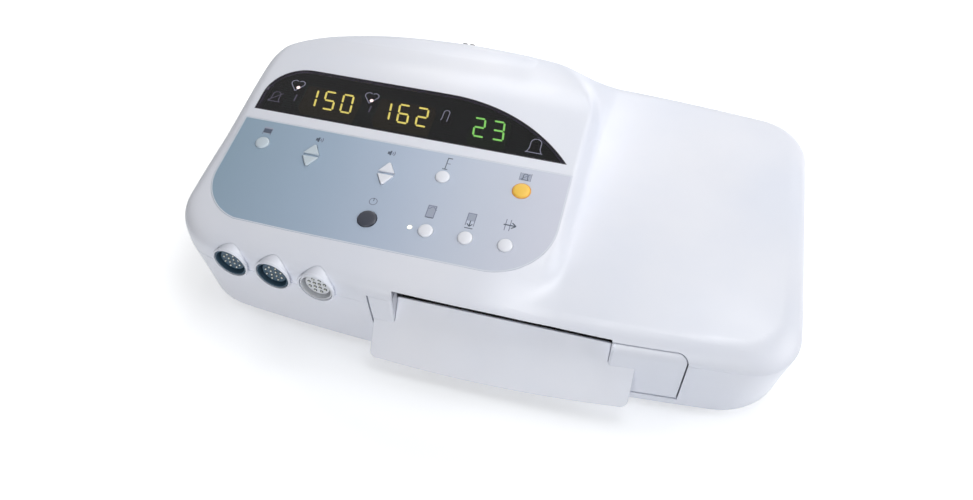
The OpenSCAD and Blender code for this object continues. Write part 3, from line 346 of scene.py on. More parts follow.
def bevel(bm, edges, offset, segments):
    """Rounds edges off."""
    bmesh.ops.bevel(bm, geom=edges, offset=offset, segments=segments, affect="EDGES", profile=0.5,
                    material=-1)


def rod(bm, matrix, radius, low, high, sides=48):
    """A capped cylinder between two heights along a matrix's Z."""
    bmesh.ops.create_cone(bm, cap_ends=True, segments=sides, radius1=radius, radius2=radius, depth=high - low,
                          matrix=matrix @ shift(0, 0, (low + high) / 2))


on_deck = shift(0, 0, deck_z) @ Matrix.Rotation(deck_slope, 4, "X")


def to_deck(bm):
    """Lays what was drawn flat on the slope of the raised deck."""
    bmesh.ops.transform(bm, matrix=on_deck, verts=bm.verts)


def at_socket(x):
    """A socket's own axes: +Z out along its bore, 0 at its collar's face."""
    return shift(x, front_at(x), socket_z) \
        @ Matrix.Rotation(math.asin(x / bow_front), 4, "Z") \
        @ shift(0, -collar_out) @ Matrix.Rotation(math.radians(90), 4, "X")


def lens_loop(bm, grow, z):
    """The display window's outline: straight below, a long arch at the right."""
    arch_x, arch_v, arch_r, foot_v = -61.39, -78, 135 + grow, 7.6 - grow
    end = math.asin((foot_v - arch_v) / arch_r)
    return chain(bm, (-210 - grow, foot_v, z), (arch_x + arch_r * math.cos(end), foot_v),
                 (arch_x, arch_v, math.pi / 2 - end, 28), (-178, 57 + grow), (-178, 25, math.pi / 2, 16),
                 (-210 - grow, foot_v))


def overlay_loop(bm, grow, z):
    """The key overlay's outline: straight above, rounded corners, a lower edge like the front."""
    left, tilt = 40 + grow, math.radians(12)
    return chain(bm, (-173 - left * math.sin(tilt), -57.5 - left * math.cos(tilt), z),
                 (-137, -97.5 - grow), (3.5, -97.5 - grow), (3.5, -51.5, math.pi / 2, 20),
                 (49.5 + grow, -2 + grow), (-213 - grow, -2 + grow), (-213 - grow, -57.5),
                 (-173, -57.5, math.pi / 2 - tilt, 20))


# Round keys by their centre and radius on the deck, and arrow keys by their pair's centre and way.
keys = {"setup_key": (-189, -25, 5.5), "zero_key": (-44, -25, 5.5), "alarm_silence_key": (16, -24.2, 6.4),
        "power_key": (-86, -74.5, 7.2), "record_key": (-42, -74.5, 5.5), "paper_feed_key": (-13, -74, 5.5),
        "event_mark_key": (16, -73.5, 5.5)}
arrows = {"volume_up_key_1": (-147.5, -28.5, 1), "volume_down_key_1": (-147.5, -28.5, -1),
          "volume_up_key_2": (-86, -32, 1), "volume_down_key_2": (-86, -32, -1)}
record_lamp_place = shift(-54, -74)


def arrow_loop(bm, x, v, way, grow, z):
    """A blunt triangle that points up or down the deck."""
    corners = [(-6.4 - grow * 1.8, 1.2 - grow), (6.4 + grow * 1.8, 1.2 - grow), (0.8 + grow, 10.2 + grow),
               (-0.8 - grow, 10.2 + grow)]
    placed = [(x + cx, v + way * cv) for cx, cv in corners]
    return chain(bm, (*placed[0], z), *placed[1:], placed[0])


def key_holes(bm, gap, low, high):
    """Openings for the keys and the record lamp, each wider by a gap, or by more for a rimmed key."""
    for x, v, r in keys.values():
        rod(bm, shift(x, v), r + (0.8 if r == 6.4 else gap), low, high)
    for x, v, way in arrows.values():
        prism(bm, arrow_loop(bm, x, v, way, gap, low), high - low)
    rod(bm, record_lamp_place, 1.6 + gap, low, high, 24)


upper = solid("upper_shell", upper_body(0, parting))
carve(upper, upper_body(wall, parting - 4))
recess = bmesh.new()
prism(recess, overlay_loop(recess, 0.15, -0.6), 20)
prism(recess, lens_loop(recess, 0.15, -2), 20)
to_deck(recess)
carve(upper, recess)
holes = bmesh.new()
prism(holes, lens_loop(holes, -2, -6), 12)
key_holes(holes, 0.3, -6, 6)
to_deck(holes)
carve(upper, holes)


def drawer_cutter():
    """The drawer's opening: its upper right corner is rounded and its left side leans in."""
    bm = bmesh.new()
    block(bm, (-68.9, -149, 13.1), (152.9, -109, 64.4))
    corner = [e for e in bm.edges if all(v.co.x > 0 and v.co.z > 40 for v in e.verts)]
    bevel(bm, corner, 8, 8)
    for v in bm.verts:
        if v.co.x < 0 and v.co.z < 40:
            v.co.x += 3
    return bm


def socket_cutter():
    """Round openings in the front for the sockets' collars."""
    bm = bmesh.new()
    for x in socket_xs:
        rod(bm, at_socket(x), 13.3, -11.2, 30, 64)
    return bm


carve(upper, drawer_cutter())
notch = bmesh.new()
block(notch, (slot_left, -149, 54), (slot_right, -117, 71.7))
score(notch, 0, [-45 + 5 * i for i in range(28)])
for v in notch.verts:
    if v.co.z > 60:
        s = flank(v.co.x, -122)
        v.co.z -= 5.4 * s - 1.6 * s * (1 - s) + 0.023 * max(v.co.x - 60, 0)
carve(upper, notch)
carve(upper, socket_cutter())


# One moulded-plastic effect serves every plain moulding here: broad faint patches of tone,
# a fine grain for the light to catch, and handled places that are a little smoother.
def new_group(name, *inputs):
    """A node group with named inputs, its coordinates and its input sockets."""
    made = bpy.data.node_groups.new(name, "ShaderNodeTree")
    for label, kind, value in inputs:
        socket = made.interface.new_socket(name=label, in_out="INPUT", socket_type="NodeSocket" + kind)
        socket.default_value = value
    for label, kind in (("Colour", "Color"), ("Roughness", "Float"), ("Height", "Float")):
        made.interface.new_socket(name=label, in_out="OUTPUT", socket_type="NodeSocket" + kind)
    return made, add(made, "TexCoord").outputs["Object"], made.nodes.new("NodeGroupInput").outputs


def give(group, colour, roughness, height):
    """Passes a group's three results out of it."""
    fill(group.nodes.new("NodeGroupOutput"), {"Colour": colour, "Roughness": roughness, "Height": height})


def noise(tree, scale, detail, vector):
    """A noise texture on given coordinates."""
    return add(tree, "TexNoise", {"Scale": scale, "Detail": detail, "Vector": vector}).outputs["Fac"]


def blend_colours(tree, factor, a, b):
    """A mix of two colours by a factor socket."""
    return add(tree, "Mix", {0: factor, 6: a, 7: b}, data_type="RGBA").outputs[2]


def material_on(name, group, values, bump, **plain):
    """A material whose colour, roughness and relief come from a group with the values given."""
    made = bpy.data.materials.new(name)
    made.use_nodes = True
    tree = made.node_tree
    surface = add(tree, "Group", values, node_tree=group)
    relief = add(tree, "Bump", {"Strength": bump, "Distance": 0.0002, "Height": surface.outputs["Height"]})
    fill(tree.nodes["Principled BSDF"], {
        "Base Color": surface.outputs["Colour"], "Roughness": surface.outputs["Roughness"],
        "Normal": relief.outputs["Normal"], **{label.replace("_", " "): plain[label] for label in plain}})
    return made


moulding, place, given = new_group(
    "moulded_surface", ("Colour", "Color", (0.8, 0.8, 0.8, 1)), ("Patch Colour", "Color", (0.7, 0.7, 0.7, 1)),
    ("Patch Scale", "Float", 9), ("Grain Scale", "Float", 1400), ("Low Roughness", "Float", 0.35),
    ("High Roughness", "Float", 0.5))
patches = stretch(moulding, noise(moulding, given["Patch Scale"], 4, place), 0.35, 0.7, 0, 1)
handled = noise(moulding, 31, 3, place)
give(moulding, blend_colours(moulding, patches, given["Colour"], given["Patch Colour"]),
     stretch(moulding, handled, 0.3, 0.7, given["Low Roughness"], given["High Roughness"]),
     noise(moulding, given["Grain Scale"], 2, place))


def paint(r, g, b):
    """A colour as it is seen, 0 to 255, as the linear colour that a shader takes."""
    return tuple(c / 3294.6 if c <= 10 else ((c / 255 + 0.055) / 1.055) ** 2.4 for c in (r, g, b)) + (1,)


def moulded(name, colour, patch, low, high, grain=1400, bump=0.12, patches=9, **plain):
    """A moulded plastic or rubber, its two colours as they are seen, with plain values on its shader."""
    return material_on(name, moulding, {"Colour": paint(*colour), "Patch Colour": paint(*patch),
                                        "Patch Scale": patches, "Grain Scale": grain, "Low Roughness": low,
                                        "High Roughness": high}, bump, **plain)


def finish(piece, material, body, slot, *stands_for, edge=0, sharp=35):
    """Shades a piece, softens its sharp edges, and sets it on its body."""
    piece.data.materials.clear()
    piece.data.materials.append(material)
    piece.data.shade_smooth()
    piece.data.set_sharp_from_angle(angle=math.radians(sharp))
    if edge:
        soften = piece.modifiers.new("soften", "BEVEL")
        soften.width, soften.segments, soften.limit_method = edge / 1000, 2, "ANGLE"
        soften.angle_limit = math.radians(40)
        soften.harden_normals = True
    else:
        even = piece.modifiers.new("even", "WEIGHTED_NORMAL")
        even.keep_sharp = True
    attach(piece, body)
    if stands_for:
        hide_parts(*stands_for)
    return piece


case_abs = moulded("case_abs", (236, 238, 246), (229, 233, 244), 0.3, 0.42)
finish(upper, case_abs, "case", "case_white", "upper_case")


# Lower case: a deep tub of the same ABS that draws in to a smaller, rounder base, screwed to
# the upper case from below. It holds the drawer, the rear window, vents and the speaker's slots.
def tub(inset, low, high):
    """The tub as a closed body between two heights, drawn in by an inset."""
    bm = bmesh.new()
    base_r = 51
    shape = [(0, 3.5), (0.3, 2.8), (0.9, 2.2), (1.8, 1.8), (4, 1.5), (9, 1.2), (16, 1), (26, 0.8), (36, 0.5),
             (44, 0.2), (51.3, 0)]
    heights = [(low + h, d) for h, d in shape if low + h < high - 1] + [(high - seam, 0), (high, seam_draw)]
    loops = []
    for z, draw in heights:
        r = base_r - (base_r - corner_r) * share(z - 12, 44) - inset
        loops.append(plan(bm, z, draw + inset, draw + inset, draw + inset, r, draw + inset, r))
    stack(bm, loops)
    return bm


lower = solid("lower_shell", tub(0, 4, parting))
carve(lower, tub(wall, 6.6, parting + 4))
carve(lower, drawer_cutter())
carve(lower, socket_cutter())
# The rear window, eleven vents in the back, and seven slots below the loudspeaker.
openings = bmesh.new()
block(openings, (62, 111, 15), (170, 171, 51))
bevel(openings, [e for e in openings.edges if abs(e.verts[0].co.y - e.verts[1].co.y) > 1], 4, 5)
for i in range(11):
    block(openings, (-188 + 7 * i, 111, 18), (-185 + 7 * i, 151, 44))
for i in range(7):
    y = 62 + (i - 3) * 7.5
    block(openings, (-2, y - 1.5, 3), (42, y + 1.5, 8.6))
carve(lower, openings)
screw_places = ((-197, -93), (197, -93), (-201, 92), (201, 92), (-8, 129))
wells = bmesh.new()
for x, y in screw_places:
    rod(wells, shift(x, y), 3.1, 3, 5.8, 32)
carve(lower, wells)
finish(lower, case_abs, "case", "case_white", "lower_case")


# Feet and screws: black rubber buttons with a dished face stand in shallow wells, and steel
# machine screws come up through the corners of the tub.
def turned(bm, profile, matrix=Matrix(), steps=48):
    """A profile of radius and height pairs turned once round a matrix's Z axis."""
    before = set(bm.verts)
    points = [bm.verts.new((r, 0, z)) for r, z in profile]
    edges = [bm.edges.new(pair) for pair in zip(points, points[1:])]
    bmesh.ops.spin(bm, geom=points + edges, cent=(0, 0, 0), axis=(0, 0, 1), angle=math.tau, steps=steps,
                   use_merge=True)
    bmesh.ops.remove_doubles(bm, verts=[v for v in bm.verts if v not in before], dist=0.002)
    bmesh.ops.transform(bm, matrix=matrix, verts=[v for v in bm.verts if v not in before])


feet = bmesh.new()
for x, y in ((-169, -89), (169, -89), (-169, 101), (169, 101)):
    turned(feet, ((0, 0.9), (6.5, 0.7), (7.4, 0.1), (8.6, 0), (9.5, 0.4), (10, 1.3), (10, 4), (0, 4)),
           shift(x, y))
foot_rubber = moulded("foot_rubber", (46, 46, 49), (60, 60, 62), 0.65, 0.85, grain=700, bump=0.3)
finish(solid("foot_buttons", feet), foot_rubber, "case", "foot_rubber", "rubber_feet")

worked_metal, place, given = new_group(
    "worked_metal", ("Colour", "Color", (0.6, 0.6, 0.6, 1)), ("Stain Colour", "Color", (0.4, 0.4, 0.4, 1)),
    ("Stretch", "Vector", (1, 1, 1)), ("Grain Scale", "Float", 2000), ("Low Roughness", "Float", 0.2),
    ("High Roughness", "Float", 0.45))
drawn = add(worked_metal, "VectorMath", {0: place, 1: given["Stretch"]}, operation="MULTIPLY").outputs[0]
grain = noise(worked_metal, given["Grain Scale"], 2, drawn)
stain = stretch(worked_metal, noise(worked_metal, 60, 3, place), 0.45, 0.75, 0, 1)
give(worked_metal, blend_colours(worked_metal, stain, given["Colour"], given["Stain Colour"]),
     stretch(worked_metal, grain, 0.3, 0.7, given["Low Roughness"], given["High Roughness"]), grain)


def metal(name, colour, stain, low, high, along=(1, 1, 1), grain=2000, bump=0.15):
    """A bare metal, its grain drawn out along one axis where it was rolled or turned."""
    return material_on(name, worked_metal, {"Colour": paint(*colour), "Stain Colour": paint(*stain),
                                            "Stretch": along, "Grain Scale": grain, "Low Roughness": low,
                                            "High Roughness": high}, bump, Metallic=1)


def dress(material, *names):
    """Gives CAD nodes whose shape is right their finish."""
    for name in names:
        if not nodes[name].material_slots:
            nodes[name].data.materials.append(material)
        for slot in nodes[name].material_slots:
            slot.material = material


screw_steel = metal("screw_steel", (176, 178, 182), (150, 150, 155), 0.25, 0.42, (1, 1, 0.1))
dress(screw_steel, "case_screws", "board_screws")


# Display window: a slab of smoked acrylic with a ground edge, seated flush from above, so that
# only what is lit behind it shows.
def lay_on_deck(bm, low, height):
    """Gives a flat drawing its thickness and lays it at a height over the raised deck."""
    thicken(bm, bm.faces[:], height)
    bmesh.ops.transform(bm, matrix=on_deck @ shift(0, 0, low), verts=bm.verts)


smoked_acrylic = moulded("smoked_acrylic", (98, 91, 106), (93, 86, 102), 0.02, 0.07, grain=300,
                         bump=0.01, patches=30, Transmission_Weight=1, IOR=1.28)
slab = bmesh.new()
prism(slab, lens_loop(slab, -0.6, -1.95), 1.93)
bevel(slab, [e for e in slab.edges if all(v.co.z > -0.5 for v in e.verts)], 0.12, 1)
to_deck(slab)
finish(solid("display_window", slab), smoked_acrylic, "case", "lens_black", "display_lens")
gasket = bmesh.new()
bmesh.ops.bridge_loops(gasket, edges=lens_loop(gasket, -0.56, 0) + lens_loop(gasket, 0.1, 0))
lay_on_deck(gasket, -1.95, 1.9)
gasket_black = moulded("gasket_black", (34, 31, 40), (40, 36, 46), 0.5, 0.7)
finish(solid("window_gasket", gasket), gasket_black, "case", "lens_black")


# Figures: LED blocks behind the window, each a dark housing whose bars shine through its face,
# and whose face glows faintly in their colour, a painted glow of the light the bars spill.
# Two heart rates are lit in amber and the contraction figure in green.
def lit(name, colour, strength, body_colour=(60, 58, 50)):
    """A moulded surface that also shines in its own slightly uneven colour."""
    made, colour = moulded(name, body_colour, body_colour, 0.4, 0.6), paint(*colour)
    dimmer = tuple(c * 0.8 for c in colour[:3]) + (1,)
    uneven = add(made.node_tree, "Group", {"Colour": colour, "Patch Colour": dimmer, "Patch Scale": 240},
                 node_tree=moulding)
    fill(made.node_tree.nodes["Principled BSDF"], {"Emission Color": uneven.outputs["Colour"],
                                                   "Emission Strength": strength})
    return made


amber_bar = lit("amber_bar", (228, 226, 100), 9)
green_bar = lit("green_bar", (136, 228, 96), 9)
# The faces' faint emission is a painted glow of the light the bars spill.
amber_face_painted_glow = lit("amber_face_painted_glow", (60, 56, 20), 1.5, (20, 18, 18))
green_face_painted_glow = lit("green_face_painted_glow", (24, 54, 16), 1.5, (18, 19, 18))
bar_span, bar_rise, bar_width, digit_v, lean = 8.2, 4.55, 1.5, 30.5, math.tan(math.radians(-9))
bar_places = {"a": (0, 2, 0), "g": (0, 0, 0), "d": (0, -2, 0), "f": (-1, 1, 1), "b": (1, 1, 1),
              "e": (-1, -1, 1), "c": (1, -1, 1)}
bars_of = {"0": "abcdef", "1": "bc", "2": "abged", "3": "abgcd", "5": "afgcd", "6": "afgecd"}
leaned = on_deck @ Matrix(((1, lean, 0, -lean * digit_v), (0, 1, 0, 0), (0, 0, 1, 0), (0, 0, 0, 1)))
for number, (node, figure, xs, face, bar, slot) in enumerate((
        ("digits_heart_rate_1", "150", (-170.8, -155.4, -140.4), amber_face_painted_glow, amber_bar, "digit_amber"),
        ("digits_heart_rate_2", "162", (-108.2, -92.8, -77.4), amber_face_painted_glow, amber_bar, "digit_amber"),
        ("digits_contraction", "23", (-30.7, -15.3), green_face_painted_glow, green_bar, "digit_green")), 1):
    housing = bmesh.new()
    block(housing, (xs[0] - 7.2, digit_v - 12.2, -11.3), (xs[-1] + 7.2, digit_v + 12.2, -3.25))
    bevel(housing, housing.edges[:], 0.6, 2)
    to_deck(housing)
    finish(solid("figure_housing_%d" % number, housing), face, "case", slot, node)
    bars = bmesh.new()
    for x, digit in zip(xs, figure):
        for name in bars_of[digit]:
            across, up, upright = bar_places[name]
            shape = block(bars, (-3.75, -bar_width / 2, 0), (3.75, bar_width / 2, 0.28))
            ends = {e for v in shape for e in v.link_edges if abs(e.verts[0].co.z - e.verts[1].co.z) > 0.1}
            known = set(bars.verts) - set(shape)
            bevel(bars, list(ends), 0.5, 1)
            shape = [v for v in bars.verts if v not in known]
            bmesh.ops.transform(bars, verts=shape, matrix=Matrix.Translation(
                (x + across * bar_span / 2, digit_v + up * bar_rise, -3.24)) @ Matrix.Rotation(
                    math.pi / 2 * upright, 4, "Z"))
    bmesh.ops.transform(bars, matrix=leaned, verts=bars.verts)
    finish(solid("figure_bars_%d" % number, bars), bar, "case", slot)


# Signs behind the window: outlines of a heart, a bell and a wave, with small lamps, on the dark
# film over the lamp housings.
def pen(bm, x, v, heading, width, *moves):
    """A flat line drawn from a point: a number goes straight on, a pair turns by radius and angle."""
    way, at = math.radians(heading), Vector((x, v, 0))
    side = Vector((-math.sin(way), math.cos(way), 0))
    ends = [bm.verts.new(at + side * width / 2), bm.verts.new(at - side * width / 2)]
    edge = bm.edges.new(ends)
    for move in moves:
        side = Vector((-math.sin(way), math.cos(way), 0))
        if isinstance(move, tuple):
            centre = at + side * move[0] * (1 if move[1] > 0 else -1)
            angle = math.radians(move[1])
            turned_edge = bmesh.ops.spin(bm, geom=ends + [edge], cent=centre, axis=(0, 0, 1), angle=angle,
                                         steps=max(2, round(abs(move[1]) / 15)))["geom_last"]
            edge = [g for g in turned_edge if isinstance(g, bmesh.types.BMEdge)][0]
            at = centre + Matrix.Rotation(angle, 3, "Z") @ (at - centre)
            way += angle
        else:
            drawn = bmesh.ops.extrude_edge_only(bm, edges=[edge])["geom"]
            ends = verts_of(drawn)
            step = Vector((math.cos(way), math.sin(way), 0)) * move
            bmesh.ops.translate(bm, verts=ends, vec=step)
            edge = bm.edges.get(ends)
            at = at + step
        ends = list(edge.verts)


def dot(bm, x, v, radius, sides=20):
    """A filled round spot."""
    bmesh.ops.create_circle(bm, cap_ends=True, segments=sides, radius=radius,
                            matrix=shift(x, v))


def heart(bm, x, v, size, width):
    """A heart's outline standing on its point."""
    for way in (-1, 1):
        pen(bm, x, v - size * 1.1, 90 - way * 38, width, size * 1.4, (size * 0.5, way * 176))


def bell(bm, x, v, size, width):
    """A bell's outline with its foot line."""
    for way in (-1, 1):
        pen(bm, x + way * size * 1.1, v - size * 1.3, 90 + way * 22, width,
            size * 0.6, (size, -way * 22), size * 0.9, (size * 0.8, way * 88))
    pen(bm, x - size * 1.3, v - size * 1.3, 0, width, size * 2.6)


housings = bmesh.new()
for x, v in ((-200, 24), (-187, 40), (-123, 41), (-60, 37), (15.5, 22)):
    block(housings, (x - 3.5, v - 3.5, -11.3), (x + 3.5, v + 3.5, -3.3))
bevel(housings, housings.edges[:], 0.4, 1)
to_deck(housings)
lamp_housing = moulded("lamp_housing", (22, 21, 24), (28, 26, 30), 0.5, 0.7)
finish(solid("lamp_housings", housings), lamp_housing, "case", "lamp_amber", "status_lamps")
signs = bmesh.new()
heart(signs, -187, 41, 5.8, 0.65)
heart(signs, -123.4, 41.5, 5.8, 0.65)
pen(signs, -62.5, 31, 60, 0.6, (5, 30), 6, (2.3, -180), 9)
bell(signs, 16, 22, 5.2, 0.65)
lay_on_deck(signs, -3.1, 0.1)
finish(solid("window_signs", signs), lit("sign_glow", (160, 172, 168), 6), "case", "lamp_amber")
faint = bmesh.new()
bell(faint, -199.5, 25, 4, 0.7)
pen(faint, -205, 20, 42, 0.6, 14)
for x, v in ((-183.5, 27), (-120.5, 29)):
    pen(faint, x, v - 3.2, 90, 1.1, 7)
lay_on_deck(faint, -3.1, 0.1)
finish(solid("faint_signs", faint), lit("faint_glow", (94, 98, 100), 6), "case", "lamp_amber")
points = bmesh.new()
dot(points, -185.4, 38.4, 1.5)
dot(points, -122.2, 38.2, 1.5)
lay_on_deck(points, -3.05, 0.12)
finish(solid("beat_lamps", points), lit("beat_glow", (250, 240, 205), 15), "case", "lamp_amber")


# Key overlay: a thin polyester film printed on its back in a blue-grey that fades to pale lavender,
# where the darkening towards the left is painted shade, with a pale border that is a painted
# highlight of its edge, let into the deck and pierced for the keys.
film = bmesh.new()
prism(film, overlay_loop(film, 0, -0.58), 0.56)
to_deck(film)
overlay = solid("key_overlay", film)
piercings = bmesh.new()
key_holes(piercings, 0.25, -3, 3)
to_deck(piercings)
carve(overlay, piercings)
film_print_and_shade = moulded("film_print_and_shade", (150, 168, 188), (144, 163, 184), 0.34, 0.5, grain=2600, bump=0.08)
tree = film_print_and_shade.node_tree
surface = [n for n in tree.nodes if n.type == "GROUP"][0]
# The ramp along X darkens the blue-grey print towards the left end: painted shade of light falling from the
# right.
across = add(tree, "SeparateXYZ", {0: add(tree, "TexCoord").outputs["Object"]}).outputs["X"]
painted_shade_fade = add(tree, "ValToRGB", {"Fac": stretch(tree, across, -0.213, 0.0495, 0, 1)})
stops = ((0, (146, 169, 188)), (0.3, (164, 183, 204)), (0.55, (184, 197, 217)), (0.75, (199, 207, 223)),
         (1, (210, 213, 227)))
ramp = painted_shade_fade.color_ramp.elements
ramp[0].color, ramp[-1].color = paint(*stops[0][1]), paint(*stops[-1][1])
for at, colour in stops[1:-1]:
    ramp.new(at).color = paint(*colour)
fill(surface, {"Colour": painted_shade_fade.outputs["Color"], "Patch Colour": painted_shade_fade.outputs["Color"]})
finish(overlay, film_print_and_shade, "case", "overlay_blue", "control_overlay")
# The pale band round the film's edge is a painted highlight of the edge catching the light.
border = bmesh.new()
bmesh.ops.bridge_loops(border, edges=overlay_loop(border, -0.15, 0) + overlay_loop(border, -1.0, 0))
lay_on_deck(border, -0.04, 0.06)
edge_highlight_paint = moulded("edge_highlight_paint", (226, 231, 240), (220, 226, 237), 0.4, 0.5)
finish(solid("overlay_border", border), edge_highlight_paint, "case", "overlay_blue")


# Marks by the keys: small printed pictures of what each key does, in dark grey and grey-violet
# ink on the film.
dark, soft, tint = bmesh.new(), bmesh.new(), bmesh.new()
for x, v, wide, tall in ((-43, -57.5, 5.4, 10.4), (-13, -55.5, 5.4, 6.5), (16, -11, 7.6, 7),
                         (-189.8, -12.2, 7, 6.4)):
    pen(tint, x, v - tall / 2, 90, wide, tall)
for bm, *stroke in (
        # Set-up: a panel in its frame. Zero: a line and its foot.
        (dark, -193, -12.9, 0, 4, 6.4), (soft, -193.2, -10.6, 0, 0.7, 6.8), (soft, -193, -16.5, 90, 0.6, 6),
        (soft, -186.6, -16.5, 90, 0.6, 6), (dark, -44.5, -17.5, 90, 0.7, 11), (dark, -46.5, -17.5, 0, 0.7, 4),
        (dark, -44.5, -6.8, 0, 0.9, 3.4), (soft, -44.5, -12, 0, 0.6, 3),
        # Alarm silence: a stroke across its bell, between two posts.
        (soft, 12.4, -13.8, 40, 0.6, 8.6), (soft, 11.8, -14.6, 90, 0.5, 7.4),
        (soft, 20.2, -14.6, 90, 0.5, 7.4),
        # Record: a trace on its sheet. Paper feed: an arrow down to a line.
        (soft, -45.4, -55.2, 0, 0.5, (1.5, 55), 0.9, (1.5, -110), 1.6, (1.2, 60)),
        (dark, -45.6, -62.8, 0, 0.8, 5.4), (dark, -13, -58.5, -90, 0.8, 4.6), (dark, -16, -65.2, 0, 0.7, 6),
        # Event mark: an arrow across two lines. Power: a ring with a bar.
        (dark, 10.6, -56, 0, 1, 8.6), (soft, 12, -61, 90, 0.6, 10), (soft, 15.4, -61, 90, 0.6, 10),
        (soft, -86.8, -55.7, 0, 0.55, (2.9, -359.9)), (dark, -86.8, -58.2, 90, 0.55, 2.6)):
    pen(bm, *stroke)
bell(dark, 16, -11, 2.1, 0.6)
# Volume: a loudspeaker and two waves.
for x in (-147, -88.5):
    pen(dark, x - 2.6, -12, 0, 2.6, 1.8)
    pen(dark, x - 0.9, -12, 0, 4.4, 1.3)
    for radius in (1.6, 3.1):
        pen(soft, x + radius * 0.77, -12 - radius * 0.64, 50, 0.8, (radius, 80))
# The sheets above record and paper feed, and the heads of both arrows.
for x in (-43, -13):
    pen(soft, x - 3, -63, 90, 0.6, 11)
    pen(soft, x + 3, -63, 90, 0.6, 11)
    pen(soft, x - 3, -52.2, 0, 0.6, 6)
for way in (-1, 1):
    pen(dark, -13, -63.6, 90 + way * 42, 0.8, 3)
    pen(dark, 19.6, -56, 180 + way * 38, 0.9, 4)
for tone, marks, height, colour, patch in (("dark", dark, 0.06, (72, 82, 100), (82, 92, 110)),
                                           ("soft", soft, 0.06, (118, 124, 148), (128, 134, 156)),
                                           ("tint", tint, 0.05, (160, 168, 186), (166, 172, 190))):
    lay_on_deck(marks, -0.04, height)
    inked = moulded(tone + "_ink", colour, patch, 0.4, 0.55)
    finish(solid(tone + "_marks", marks), inked, "case", "overlay_blue")


# Keys: silicone-rubber caps with a domed top, each standing on its own flange under the deck.
# Alarm silence is yellow, power is black, and the others are white, those towards the left in a paler
# blue-grey copy that is painted shade.
white_key, key_in_painted_shade, yellow_key, black_key = [
    moulded(name, colour, patch, 0.35, 0.5, grain=1800) for name, colour, patch in (
        ("white_key", (240, 242, 249), (234, 237, 246)), ("key_in_painted_shade", (206, 218, 226), (200, 213, 223)),
        ("yellow_key", (252, 207, 84), (249, 197, 72)), ("black_key", (38, 42, 56), (46, 50, 64)))]
# Set-up, at the left end, takes the paler copy in painted shade.
key_finish = {"alarm_silence_key": (yellow_key, "key_yellow"), "power_key": (black_key, "key_black"),
              "setup_key": (key_in_painted_shade, "key_grey")}
for name, (x, v, r) in keys.items():
    cap = bmesh.new()
    turned(cap, ((0, 1.6), (r * 0.5, 1.52), (r - 1.1, 1.3), (r - 0.5, 1.0), (r - 0.12, 0.5), (r, 0),
                 (r, -2.92), (r + 1.4, -2.92), (r + 1.4, -4.08), (0, -4.08)),
           on_deck @ shift(x, v), 56)
    colour, slot = key_finish.get(name, (white_key, "key_white"))
    finish(solid(name + "_cap", cap), colour, name, slot, name, sharp=50)
for name, (x, v, way) in arrows.items():
    cap = bmesh.new()
    prism(cap, arrow_loop(cap, x, v, way, -0.02, -4.08), 1.16)
    bmesh.ops.scale(cap, verts=cap.verts[:], vec=(1.14, 1.14, 1), space=shift(-x, -v - way * 5))
    prism(cap, arrow_loop(cap, x, v, way, -0.02, -2.92), 4.4)
    top = [e for e in cap.edges if all(vert.co.z > 1 for vert in e.verts)]
    bevel(cap, top, 0.7, 3)
    to_deck(cap)
    # The left pair of arrows takes the paler copy in painted shade, the middle pair the white.
    colour = key_in_painted_shade if "_1" in name else white_key
    finish(solid(name + "_cap", cap), colour, name, "key_grey", name, sharp=50)
# The yellow key's orange foot ring is painted shade on the key's side.
key_rim = bmesh.new()
x, v, r = keys["alarm_silence_key"]
turned(key_rim, ((r - 0.1, -0.6), (r + 0.6, -0.6), (r + 0.6, 0.15), (r - 0.1, 0.3), (r - 0.1, -0.6)),
       on_deck @ shift(x, v), 56)
rim_painted_shade = moulded("rim_painted_shade", (238, 166, 66), (230, 156, 60), 0.35, 0.5)
finish(solid("alarm_key_rim", key_rim), rim_painted_shade, "alarm_silence_key", "key_yellow", sharp=50)
lamp_cap = bmesh.new()
turned(lamp_cap, ((0, 0.35), (1.0, 0.26), (1.6, 0.02), (1.75, -0.3), (1.75, -4), (0, -4)),
       on_deck @ record_lamp_place, 24)
record_glow = lit("record_glow", (255, 248, 224), 0.9, (240, 236, 220))
finish(solid("record_lamp_dome", lamp_cap), record_glow, "case", "lamp_amber", "record_lamp")


# Drawer front: a thin plate that carries on the case's own curved front, with a rounded upper
# corner, and two cheeks that turn in beside the paper chute.
tub_draw = ((4, 3.5), (5.8, 1.8), (8, 1.5), (13, 1.2), (20, 1), (30, 0.8), (40, 0.5), (48, 0.2), (56, 0),
            (90, 0))


def skin(x, z):
    """Where the case's outer face stands at x and a height z up to the top of the drawer."""
    if z < parting:
        (z0, d0), (z1, d1) = [pair for pair in zip(tub_draw, tub_draw[1:]) if pair[0][0] <= z < pair[1][0]][0]
        return front_at(x, d0 + (d1 - d0) * (z - z0) / (z1 - z0))
    s = flank(x, -122)
    foot = (parting + seam) * s + (deck_top(-126) - roll_depth) * (1 - s)
    rise = (low_z - 126 * low_rise - parting - seam) * s + roll_depth * (1 - s)
    up = share(z - foot, rise)
    square = squareness(x, -122)
    return front_at(x, front_draw * (1 - (1 - up ** square) ** (1 / square)))


